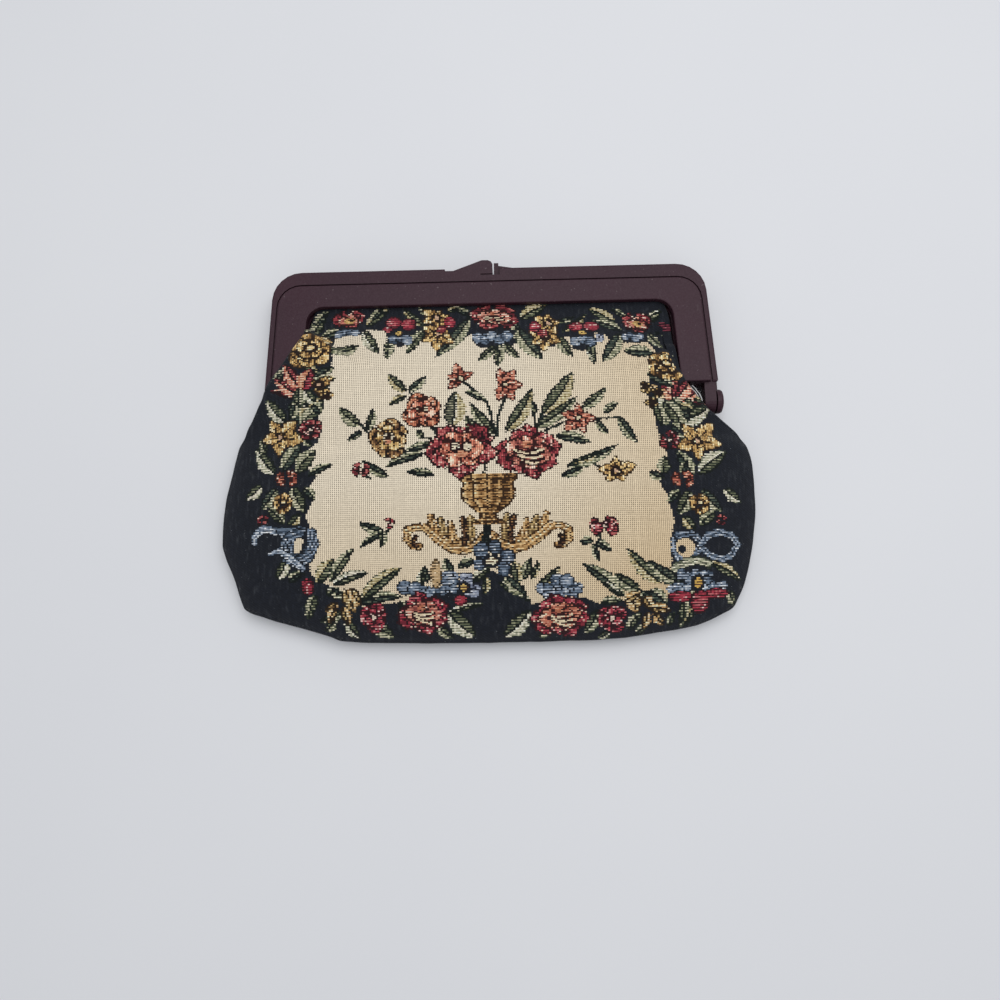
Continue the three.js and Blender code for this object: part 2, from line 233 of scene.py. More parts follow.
def makeLiningCloth():
    finish, shader, wire = newFinish("liningCloth", **{"Specular IOR Level": 0.2, "Sheen Weight": 0.1})
    place = wire.add("TexCoord", None, None, 3)
    across = (place.part(1) * (2 * math.pi / (liningThreads * mm))).sine()
    along = (place.part(2) * (2 * math.pi / (liningThreads * mm))).sine()
    height = across * along
    soil = place.noise(260, 3)
    mixed = (soil * 0.7 + height * 0.2).smooth(0.1, 0.8)
    join(finish.node_tree, mixed.blend(tone(176, 177, 180), tone(226, 226, 222)), shader, "Base Color")
    join(finish.node_tree, 0.75 + soil * 0.2, shader, "Roughness")
    join(finish.node_tree, height.bump(0.5, 0.00008), shader, "Normal")
    return finish


def makeTapestryCloth():
    finish, shader, wire = newFinish(
        "tapestryCloth",
        **{"Specular IOR Level": 0.22, "Sheen Weight": 0.08, "Sheen Roughness": 0.5},
    )
    flat = wire.add("UVMap", {"uv_map": "OFBake"})
    wide, tall = clothSize()
    u = (flat.part(0) * wide - stitch["spare"]) / stitch["across"]
    v = (flat.part(1) * tall - stitch["spare"]) / stitch["up"]
    dyed = wire.add("Attribute", {"attribute_name": "stitchTone"}, None, 0)
    # 0 cream, 0.5 margin, 0.85 worked upright, 1 worked level
    kind = wire.add("Attribute", {"attribute_name": "stitchKind"}, None, 2)
    ground = 1 - kind.smooth(0.1, 0.3)
    worked = kind.smooth(0.65, 0.8)
    margin = 1 - ground - worked
    column = (u.fract() - 0.5).size()  # 0 in the middle of a stitch, 0.5 at its sides
    row = (v.fract() - 0.5).size()
    mesh = ((v * (stitch["up"] / stitch["across"])).fract() - 0.5).size()
    # cream: warp threads side by side with a hole between each two stitches, darkened as painted shade
    hole = column.smooth(0.22, 0.40) * mesh.smooth(0.12, 0.36)
    groove = column.smooth(0.34, 0.48)
    # worked: floats that lie across or stand upright, with a dark line between each two: painted shade, with
    # dark ground thread showing
    level = kind.smooth(0.88, 0.96)
    gap = row.smooth(0.22, 0.44) * level + column.smooth(0.26, 0.46) * (1 - level)
    # margin: slanting ribs
    rib = ((u * 0.5 + v * 0.5) * (2 * math.pi)).sine() * 0.5 + 0.5
    fuzz = flat.noise(520, 3, 0.7)
    # painted shade in the holes, grooves and gaps between floats; the fuzz below is random tone
    dark = ground * (hole * 0.74 + groove * 0.14) + worked * gap * 0.55 + margin * rib * 0.30
    shade = dark + (fuzz - 0.5) * 0.30
    shaded = shade.smooth(-0.05, 1.0).blend(dyed, (0.0, 0.0, 0.0, 1))
    # lint and dust on the dark margin
    lint = flat.noise(310, 1, 0.3).smooth(0.775, 0.80) * margin
    streak = (flat * (1, 0.2, 1)).noise(160, 4, 0.6).smooth(0.5, 0.8) * margin
    dusty = (lint * 0.4 + streak * 0.07).blend(shaded, tone(150, 155, 160))
    join(finish.node_tree, dusty, shader, "Base Color")
    join(finish.node_tree, 0.78 + fuzz * 0.16, shader, "Roughness")
    height = (1 - hole * 0.8 - groove * 0.4) * ground + (1 - gap) * worked + rib * 0.6 * margin
    join(finish.node_tree, (height + fuzz * 0.3).bump(0.7, 0.00012), shader, "Normal")
    return finish


# The stitched picture
# It is charted by column and row of stitches, counted from the left and from the hem.
stitch = {
    "across": 0.71,  # mm, one stitch
    "up": 0.48,
    "left": -100.1,  # mm, first column's left side
    "foot": -73.6,  # mm, first row's lower side
    "columns": 282,
    "rows": 277,
    "spare": 8.0,  # mm of cloth beyond the chart, for the turned edges
}

shades = {  # from dark to light, as seen
    "green": [(22, 28, 25), (52, 59, 48), (98, 102, 79), (156, 155, 125), (216, 209, 179)],
    "grey": [(24, 29, 28), (60, 65, 55), (108, 107, 87), (160, 155, 129), (218, 211, 185)],
    "olive": [(38, 34, 24), (96, 84, 57), (148, 134, 95), (190, 176, 132), (226, 214, 179)],
    "dark": [(18, 24, 24), (40, 48, 44), (68, 79, 69), (116, 119, 99), (176, 175, 151)],
    "pale": [(42, 47, 40), (106, 111, 92), (162, 162, 136), (206, 201, 175), (234, 226, 204)],
    "tan": [(80, 64, 42), (176, 148, 108), (202, 172, 132), (214, 188, 150), (226, 204, 170)],
    "gold": [(50, 36, 24), (122, 92, 57), (184, 147, 92), (214, 183, 126), (236, 216, 174)],
    "amber": [(56, 38, 22), (134, 98, 59), (190, 150, 99), (214, 182, 132), (238, 218, 181)],
    "goldbrown": [(42, 32, 22), (102, 80, 51), (152, 124, 80), (190, 162, 110), (224, 202, 160)],
    "coral": [(54, 26, 24), (136, 70, 58), (190, 113, 91), (218, 154, 127), (240, 206, 181)],
    "crimson": [(37, 18, 21), (98, 39, 46), (145, 60, 65), (184, 104, 99), (228, 184, 168)],
    "cerise": [(50, 20, 26), (112, 39, 51), (162, 59, 71), (194, 110, 111), (230, 190, 180)],
    "wine": [(35, 18, 26), (84, 36, 48), (122, 58, 70), (158, 94, 100), (206, 160, 158)],
    "pink": [(56, 28, 28), (134, 71, 65), (184, 112, 96), (214, 154, 132), (240, 208, 187)],
    "brick": [(48, 24, 20), (126, 69, 51), (178, 108, 82), (210, 152, 119), (236, 200, 169)],
    "brown": [(36, 24, 20), (92, 64, 44), (148, 112, 73), (192, 156, 107), (226, 202, 159)],
    "blue": [(26, 31, 39), (60, 72, 87), (106, 120, 137), (158, 168, 181), (214, 218, 221)],
    "lilac": [(38, 41, 52), (84, 90, 107), (134, 141, 158), (178, 184, 197), (218, 220, 226)],
}
ink = (27, 30, 37)
cream = (222, 209, 186)


class Chart:
    def __init__(self):
        s = stitch
        self.x = s["left"] + (np.arange(s["columns"]) + 0.5) * s["across"]
        self.y = s["foot"] + (np.arange(s["rows"]) + 0.5) * s["up"]
        self.plainX, self.plainY = np.meshgrid(self.x, self.y)
        rng = np.random.default_rng(41)
        self.fuzz = rng.random(self.plainX.shape)
        self.speck = rng.random(self.plainX.shape)
        self.row = np.arange(s["rows"])[:, None] * np.ones(s["columns"])[None, :]
        self.column = np.ones(s["rows"])[:, None] * np.arange(s["columns"])[None, :]
        drift = rng.normal(0, 1, self.plainX.shape)
        self.upright = sum(np.roll(drift, k, 0) for k in range(6)) / 2.4
        drift = rng.normal(0, 1, self.plainX.shape)
        self.level = sum(np.roll(drift, k, 1) for k in range(5)) / 2.2
        self.tone = np.zeros(self.plainX.shape + (3,))
        self.kind = np.zeros(self.plainX.shape)
        self.marks = []
        # each second row's stitches start a little later: stepped edges
        self.stitchX = self.plainX + np.where(self.row % 2 == 0, 0.0, 0.22) + (self.fuzz - 0.5) * 0.25
        self.stitchY = self.plainY + (self.speck - 0.5) * 0.2

    def near(self, x0, y0, x1, y1):
        i0, i1 = np.searchsorted(self.x, (x0, x1))
        j0, j1 = np.searchsorted(self.y, (y0, y1))
        return slice(j0, j1), slice(i0, i1)

    def lay(self, where, mask, name, depth, stripe=0.5, run=None):
        # depth 0 is dark and 1 light; stripe darkens each second row
        d = depth + (self.fuzz[where] - 0.5) * 0.16
        d = d - np.where(self.row[where] % 2 == 0, stripe * 0.30, 0)
        if run is not None:
            d = d + 0.11 * run[where]
        pick = np.clip((d * 5).astype(int), 0, 4)
        colours = np.array(shades[name], float)[pick]
        self.tone[where] = np.where(mask[..., None], colours, self.tone[where])
        self.kind[where] = np.where(mask, 1.7 if run is self.upright else 2, self.kind[where])

    def flat(self, where, mask, colour, kind=2):
        self.tone[where] = np.where(mask[..., None], np.array(colour, float), self.tone[where])
        self.kind[where] = np.where(mask, kind, self.kind[where])

    def leaf(self, x0, y0, x1, y1, width, kind, side):
        kinds = {"g": ("green", "green"), "o": ("green", "olive"), "d": ("dark", "green"),
                 "p": ("green", "pale"),
                 "m": ("grey", "olive"), "a": ("goldbrown", "amber"),
                 "c": ("crimson", "coral"), "r": ("cerise", "brick")}
        dark, light = kinds[kind]
        m = width + 1.5
        w = self.near(min(x0, x1) - m, min(y0, y1) - m, max(x0, x1) + m, max(y0, y1) + m)
        px, py = self.stitchX[w], self.stitchY[w]
        length = math.hypot(x1 - x0, y1 - y0)
        ux, uy = (x1 - x0) / length, (y1 - y0) / length
        t = ((px - x0) * ux + (py - y0) * uy) / length
        s = (-(px - x0) * uy + (py - y0) * ux) * side
        tc = np.clip(t, 0, 1)
        s = s - 0.055 * length * np.sin(np.pi * tc)
        half = width * 0.5 * np.sin(np.pi * tc ** 0.85) ** 0.75
        half = half * (1 + 0.08 * np.sin(t * length * 2.6 + x0))  # toothed outline
        mask = (t > -0.02) & (t < 1.02) & (np.abs(s) < half + 0.1)
        rib = np.sin((t * length * 0.9 - np.abs(s) * 0.9) * 2.4)  # side veins run towards the tip
        dots = np.where(self.column[w] % 2 == 0, 0.08, -0.08)
        crown = np.sin(np.pi * tc)
        shade = 0.66 if kind == "a" else 0.44
        self.lay(w, mask & (s <= 0), dark, shade + 0.14 * crown + 0.10 * rib, stripe=1.1)
        self.lay(w, mask & (s > 0), light, 0.74 + 0.12 * crown + 0.10 * rib + dots, stripe=1.1)
        if width > 3.6 and kind in "pm":
            spine = (np.abs(s - 0.5) < 0.3) & (t < 0.9) & (self.speck[w] < 0.8)
            self.flat(w, mask & spine, shades["pale"][4])
        self.flat(w, mask & (np.abs(s) < 0.36) & (t < 0.86), shades[dark][0])
        self.flat(w, mask & (t > 0.93), shades[dark][1])
        self.flat(w, mask & (s < -half + 0.65), shades[dark][0])
        self.flat(w, mask & (s > half - 0.35) & (self.fuzz[w] < 0.5), shades[dark][1])

    def stem(self, points, width, name="dark"):
        for (x0, y0), (x1, y1) in zip(points, points[1:]):
            m = width + 1
            w = self.near(min(x0, x1) - m, min(y0, y1) - m, max(x0, x1) + m, max(y0, y1) + m)
            px, py = self.stitchX[w], self.stitchY[w]
            lengthSquared = (x1 - x0) ** 2 + (y1 - y0) ** 2 + 1e-9
            t = np.clip(((px - x0) * (x1 - x0) + (py - y0) * (y1 - y0)) / lengthSquared, 0, 1)
            d = np.hypot(px - x0 - t * (x1 - x0), py - y0 - t * (y1 - y0))
            self.lay(w, d < width * 0.5 + 0.15, name, 0.12 + 0.25 * (self.speck[w] > 0.6), stripe=0.3)

    def petal(self, x, y, along, wide, turn, name, depth, run=None, point=0.0):
        # one petal from its base at x, y: a dark rim, a paler tip and thin dark folds
        m = max(along, wide) + 1
        w = self.near(x - m, y - m, x + m, y + m)
        px, py = self.stitchX[w] - x, self.stitchY[w] - y
        t = (px * math.cos(turn) + py * math.sin(turn)) / along
        s = (py * math.cos(turn) - px * math.sin(turn)) / (wide * 0.5)
        soft = np.sqrt(np.clip(1 - (2 * t - 1.1) ** 2 / 1.2, 0, 1)) * (0.8 + 0.35 * t)
        sharp = 1.12 * np.sin(np.pi * np.clip(0.10 + 0.90 * t, 0, 1)) ** 0.9
        sharp = sharp * (1 + 0.16 * np.sin(t * along * 3.4 + x))
        half = soft * (1 - point) + sharp * point
        self.flat(w, (t > -0.1) & (t < 1.1) & (np.abs(s) < half + 0.9 / wide), shades[name][0])
        mask = (t > 0) & (t < 1) & (np.abs(s) < half - 0.12)
        body = depth - 0.26 + 0.50 * t + 0.12 * np.sin(s * 5 + x)
        self.lay(w, mask, name, body, stripe=0.35 if run is self.upright else 0.7, run=run)
        fold = mask & (np.abs(s - 0.25 * math.sin(x * 3)) < 0.35 / wide) & (t < 0.62)
        self.flat(w, fold, shades[name][0])

    def flower(self, cx, cy, rx, ry, kind, petals, turn):
        looks = {
            "red": ("crimson", "pink", "gold"), "redpale": ("crimson", "pink", "flecks"),
            "crimson": ("crimson", "crimson", None),
            "yellowrose": ("gold", "gold", "eye"), "rosered": ("coral", "pink", None),
            "magenta": ("crimson", "cerise", "white"), "orangerose": ("brick", "coral", "creameye"),
            "brownrose": ("brown", "gold", "creameye"), "peony": ("crimson", "coral", "creameye"),
            "peony2": ("crimson", "pink", "flecks"), "rose": ("cerise", "pink", "flecks"),
            "rose2": ("cerise", "coral", "flecks"), "bright": ("cerise", "cerise", "white"),
        }
        outer, inner, heart = looks[kind]
        run = self.upright if outer in ("gold", "brick", "brown") or "peony" in kind else self.level
        point = 0.85 if "peony" in kind or kind in ("red", "redpale", "rosered", "rose", "rose2") else 0.45
        point = 0.25 if outer in ("gold", "brown") else point

        def sway(k, by):
            return by * math.sin(k * 2.4 + turn * 9 + cx)

        for k in range(petals):
            at = (k + 0.25 * math.sin(k * 3.1 + turn * 7)) * 2 * math.pi / petals + turn
            start = 0.34
            long = 0.66 * (1 + sway(k, 0.14))
            ux, uy = math.cos(at) * rx, math.sin(at) * ry
            reach = math.hypot(ux, uy)
            wide = 2.9 * math.pi * (rx + ry) / 2 / petals * (0.72 + sway(k + 2, 0.12))
            self.petal(cx + ux * start, cy + uy * start, reach * long, min(wide, reach * 0.95),
                       math.atan2(uy, ux), outer, 0.48 + sway(k + 1, 0.12), run, point)
        ring = max(3, petals - 3)
        for k in range(ring if rx >= 5 else 0):
            at = (k + 0.5) * 2 * math.pi / ring + turn * 2
            ux, uy = math.cos(at) * rx * 0.66, math.sin(at) * ry * 0.66
            reach = math.hypot(ux, uy)
            depth = (0.50 if "peony" in kind else 0.55) + sway(k + 3, 0.14)
            self.petal(cx + ux * 0.12, cy + uy * 0.12, reach * (0.88 + sway(k, 0.10)), reach * 0.95,
                       math.atan2(uy, ux), inner, depth, run, point * 0.7)
        w = self.near(cx - rx, cy - ry, cx + rx, cy + ry)
        px, py = (self.stitchX[w] - cx) / rx, (self.stitchY[w] - cy) / ry
        r = np.hypot(px, py)
        worked = (r < 1) & (self.kind[w] > 1.5)
        self.flat(w, worked & (self.speck[w] < 0.025), shades[inner][4])
        self.flat(w, worked & (self.speck[w] > 0.95), shades[outer][0])
        if heart == "gold":
            self.lay(w, np.hypot(px, py * 1.1 + 0.2) < 0.32, "gold", 0.62)
            self.flat(w, (np.hypot(px - 0.1, py + 0.1) < 0.13), shades["brown"][0])
        elif heart == "flecks":
            for k in range(3):
                bend = np.abs(np.hypot(px - 0.1 * k, py - 0.55 + 0.2 * k) - 0.62)
                arc = (bend < 0.045) & (py < 0.1 - 0.2 * k) & (np.abs(px) < 0.5 - 0.08 * k)
                self.flat(w, arc & (self.fuzz[w] < 0.8), (226, 206, 172))
                shadow = (np.abs(bend - 0.09) < 0.035) & (py < 0.1 - 0.2 * k) & (np.abs(px) < 0.5)
                self.flat(w, shadow, shades[outer][0])
            self.lay(w, (np.hypot(px + 0.05, py - 0.3) < 0.15), "brick", 0.6)
            self.flat(w, (np.hypot(px - 0.05, (py - 0.3) * 1.6) < 0.07), shades["brown"][0])
        elif heart == "eye":
            self.flat(w, np.abs(np.hypot(px * 0.9, (py - 0.12) * 1.2) - 0.27) < 0.075, shades["brown"][0])
            self.lay(w, np.hypot(px * 0.9, (py - 0.12) * 1.2) < 0.17, "gold", 0.9)
            arc = (np.abs(np.hypot(px * 0.95, (py - 0.15) * 1.0) - 0.66) < 0.06) & (py < -0.02)
            self.flat(w, arc, shades["brown"][0])
        elif heart == "creameye":
            for side in (-1, 1):
                d = np.hypot((px - side * 0.17) * 1.6, py - 0.1)
                self.flat(w, d < 0.24, shades[outer][0])
                self.flat(w, (d < 0.17) & (np.sin(px * rx * 8) > -0.4), (226, 212, 184))
            self.lay(w, np.hypot(px, (py + 0.18) * 1.5) < 0.17, "brick", 0.72)
        elif heart == "white":
            pricks = worked & (self.row[w] % 2 == 1) & (self.column[w] % 2 == 0)
            self.flat(w, pricks & (self.speck[w] < 0.16), shades[outer][4])
            self.flat(w, np.hypot(px * 1.2, py) < 0.30, shades[outer][0])
            self.flat(w, np.hypot(px * 1.5, py) < 0.19, (226, 206, 186))

    def star(self, centre, tips, kind):
        cx, cy = centre
        golden = kind in ("gold", "amber", "goldbrown")
        run = self.upright if golden else self.level
        far = [math.hypot(x - cx, y - cy) for x, y in tips]
        order = sorted(range(len(tips)), key=far.__getitem__, reverse=True)
        for k in order:
            tx, ty = tips[k]
            length = math.hypot(tx - cx, ty - cy) + 1e-6
            ux, uy = (tx - cx) / length, (ty - cy) / length
            m = length * 0.6 + 1
            w = self.near(min(cx, tx) - m, min(cy, ty) - m, max(cx, tx) + m, max(cy, ty) + m)
            px, py = self.stitchX[w], self.stitchY[w]
            t = ((px - cx) * ux + (py - cy) * uy) / length
            s = -(px - cx) * uy + (py - cy) * ux
            tc = np.clip(t, 0, 1)
            half = length * (0.285 if golden else 0.26) * np.sin(np.pi * np.clip(tc * 0.86 + 0.13, 0, 1))
            half = half * (1 + 0.12 * np.sin(t * length * 3.1 + k))
            self.flat(w, (t > 0) & (t < 1.04) & (np.abs(s) < half + 0.55), shades[kind][0])
            mask = (t > 0.04) & (t < 1) & (np.abs(s) < half)
            body = 0.50 + 0.26 * tc + 0.12 * np.sign(s) * (self.speck[w] > 0.3)
            self.lay(w, mask, kind, body, stripe=0.4 if golden else 0.8, run=run)
            self.flat(w, mask & (np.abs(s) < 0.36) & (t < 0.62), shades[kind][0])
            vein = (np.abs(np.abs(s) - half * 0.6) < 0.25) & (t < 0.8) & (self.fuzz[w] < 0.4)
            self.flat(w, mask & vein, shades[kind][1])
        w = self.near(cx - 3, cy - 3, cx + 3, cy + 3)
        r = np.hypot(self.stitchX[w] - cx, self.stitchY[w] - cy)
        large = math.dist(centre, tips[order[0]]) > 5
        self.flat(w, (r < (2.0 if golden and large else 1.4)) & (self.fuzz[w] < 0.85), shades["brown"][0])
        if large or not golden:
            self.flat(w, (r < 0.75), (206, 170, 140) if golden else (220, 204, 170))

    def lobe(self, x, y, across, tall, name, level=0.66):
        # one round lobe, striped along the rows, with a dark rim
        w = self.near(x - across - 1, y - tall - 1, x + across + 1, y + tall + 1)
        r = np.hypot((self.stitchX[w] - x) / across, (self.stitchY[w] - y) / tall)
        self.flat(w, r < 1.12, shades[name][0])
        self.lay(w, r < 0.98, name, level - 0.26 * r, stripe=0.9, run=self.level)
        glint = (r < 0.85) & (self.speck[w] < 0.07) & (self.row[w] % 2 == 1)
        self.flat(w, glint, shades[name][4])

    def blue(self, cx, cy, rx, ry, name="blue"):
        # a cluster of round lobes
        if rx > ry * 1.3:
            count = max(2, int(round(1.6 * rx / ry)))
            for k in range(count):
                x = cx + rx * (2 * (k + 0.5) / count - 1) * 0.86
                y = cy + ry * 0.28 * math.sin(k * 2.6 + cx)
                self.lobe(x, y, rx / count * 1.25, ry * 0.85, name, 0.78 + 0.10 * math.sin(k * 2.3 + cy))
        else:
            for k in range(4):
                at = k * math.pi / 2 + 0.6
                x, y = cx + rx * 0.45 * math.cos(at), cy + ry * 0.45 * math.sin(at)
                self.lobe(x, y, rx * 0.62, ry * 0.62, name, 0.78 + 0.10 * math.sin(k * 2.3 + cy))

    def vase(self, cx, rows, name):
        # rows of [height, half width] from the rim down, fluted, with dark edges
        ys = [y for y, half in rows]
        widest = max(half for y, half in rows)
        w = self.near(cx - widest - 1, min(ys), cx + widest + 1, max(ys))
        half = np.interp(self.stitchY[w], ys[::-1], [half for y, half in rows][::-1])
        across = (self.stitchX[w] - cx) / half
        level = 0.50 + 0.16 * np.cos(across * 14) - 0.18 * across
        self.lay(w, np.abs(across) < 1, name, level, stripe=0.6)
        self.flat(w, (np.abs(across) < 1) & (np.abs(across) > 1 - 0.9 / half), shades[name][0])
        flute = (np.abs(np.abs(across) - 0.55) < 0.35 / half) | (np.abs(across) < 0.35 / half)
        self.flat(w, flute & (half > 5), shades[name][0])
        for y, half in rows[1:-1]:
            self.flat(w, (np.abs(self.stitchY[w] - y) < 0.26) & (np.abs(across) < 1), shades[name][0])

    def eye(self, cx, cy, rx, ry, name):
        w = self.near(cx - rx, cy - ry, cx + rx, cy + ry)
        mask = np.hypot((self.stitchX[w] - cx) / rx, (self.stitchY[w] - cy) / ry) < 1
        if name == "cream":
            self.flat(w, mask, cream, kind=0)
        elif name == "ink":
            self.flat(w, mask, ink, kind=1)
        else:
            self.lay(w, mask, name, 0.12)

    def heart(self, cx, cy, rx, ry, kind):
        w = self.near(cx - rx * 1.3, cy - ry * 1.3, cx + rx * 1.3, cy + ry * 1.3)
        r = np.hypot((self.stitchX[w] - cx) / rx, (self.stitchY[w] - cy) / ry)
        self.flat(w, r < 1.25, ink)
        tone = {"pale": (226, 218, 188), "yellow": (214, 180, 104), "gold": (206, 166, 86)}[kind]
        self.flat(w, (r < 0.7), tone)
        self.flat(w, (r < 0.7) & (self.row[w] % 2 == 0) & (self.fuzz[w] < 0.7), shades["brown"][1])

    def band(self, points, widths, name, depth=0.55):
        # tapering band along points: scrolls and bows
        for k in range(len(points) - 1):
            (x0, y0), (x1, y1) = points[k], points[k + 1]
            a, b = widths[k], widths[k + 1]
            m = max(a, b) + 1
            w = self.near(min(x0, x1) - m, min(y0, y1) - m, max(x0, x1) + m, max(y0, y1) + m)
            px, py = self.stitchX[w], self.stitchY[w]
            lengthSquared = (x1 - x0) ** 2 + (y1 - y0) ** 2 + 1e-9
            length = math.sqrt(lengthSquared)
            t = np.clip(((px - x0) * (x1 - x0) + (py - y0) * (y1 - y0)) / lengthSquared, 0, 1)
            s = (-(px - x0) * (y1 - y0) + (py - y0) * (x1 - x0)) / length
            d = np.hypot(px - x0 - t * (x1 - x0), py - y0 - t * (y1 - y0))
            half = (a + (b - a) * t) * 0.5
            self.flat(w, (d < half + 0.45) & (self.speck[w] < 0.8), shades[name][0])
            level = depth + 0.26 * np.sin(s * 4.6) + 0.08 * np.sin(t * length * 1.7)
            self.marks.append((w, d < half, name, level))
        for w, mask, tone, level in self.marks:
            self.lay(w, mask, tone, level, stripe=0.8)
        self.marks = []

    def ground(self, fields):
        px, py = self.plainX, self.plainY
        whole = (slice(None), slice(None))
        self.flat(whole, np.ones_like(px, bool), ink, kind=1)
        mask = inside(fields, self.stitchX, self.stitchY)
        self.flat(whole, mask, cream, kind=0)

    def shadeOver(self, points):
        # painted shade: the margin's navy laid over whatever was worked there
        self.flat((slice(None), slice(None)), inside(points, self.plainX, self.plainY), ink, kind=1)

    def finish(self):
        # small changes from stitch to stitch
        n = self.plainX.shape
        rng = np.random.default_rng(7)
        k = self.kind
        g = rng.normal(0, 1, n)
        c = rng.normal(0, 1, (1, n[1]))
        r = rng.normal(0, 1, (n[0], 1))
        amount = np.where(k == 0, 0.018, np.where(k == 1, 0.05, 0.06))
        f = 1 + amount * g + np.where(k == 0, 0.006, 0.02) * c + 0.008 * r
        # the cream cloth is a little browner at the right and towards the hem
        worn = 0.07 * np.clip((self.plainX - 10) / 50, 0, 1) + 0.06 * np.clip((-self.plainY - 15) / 40, 0, 1)
        worn = np.where(k == 0, worn, 0)[..., None] * np.array((0.75, 1.2, 1.9))
        self.tone = np.clip(self.tone * (f[..., None] - worn), 0, 255)


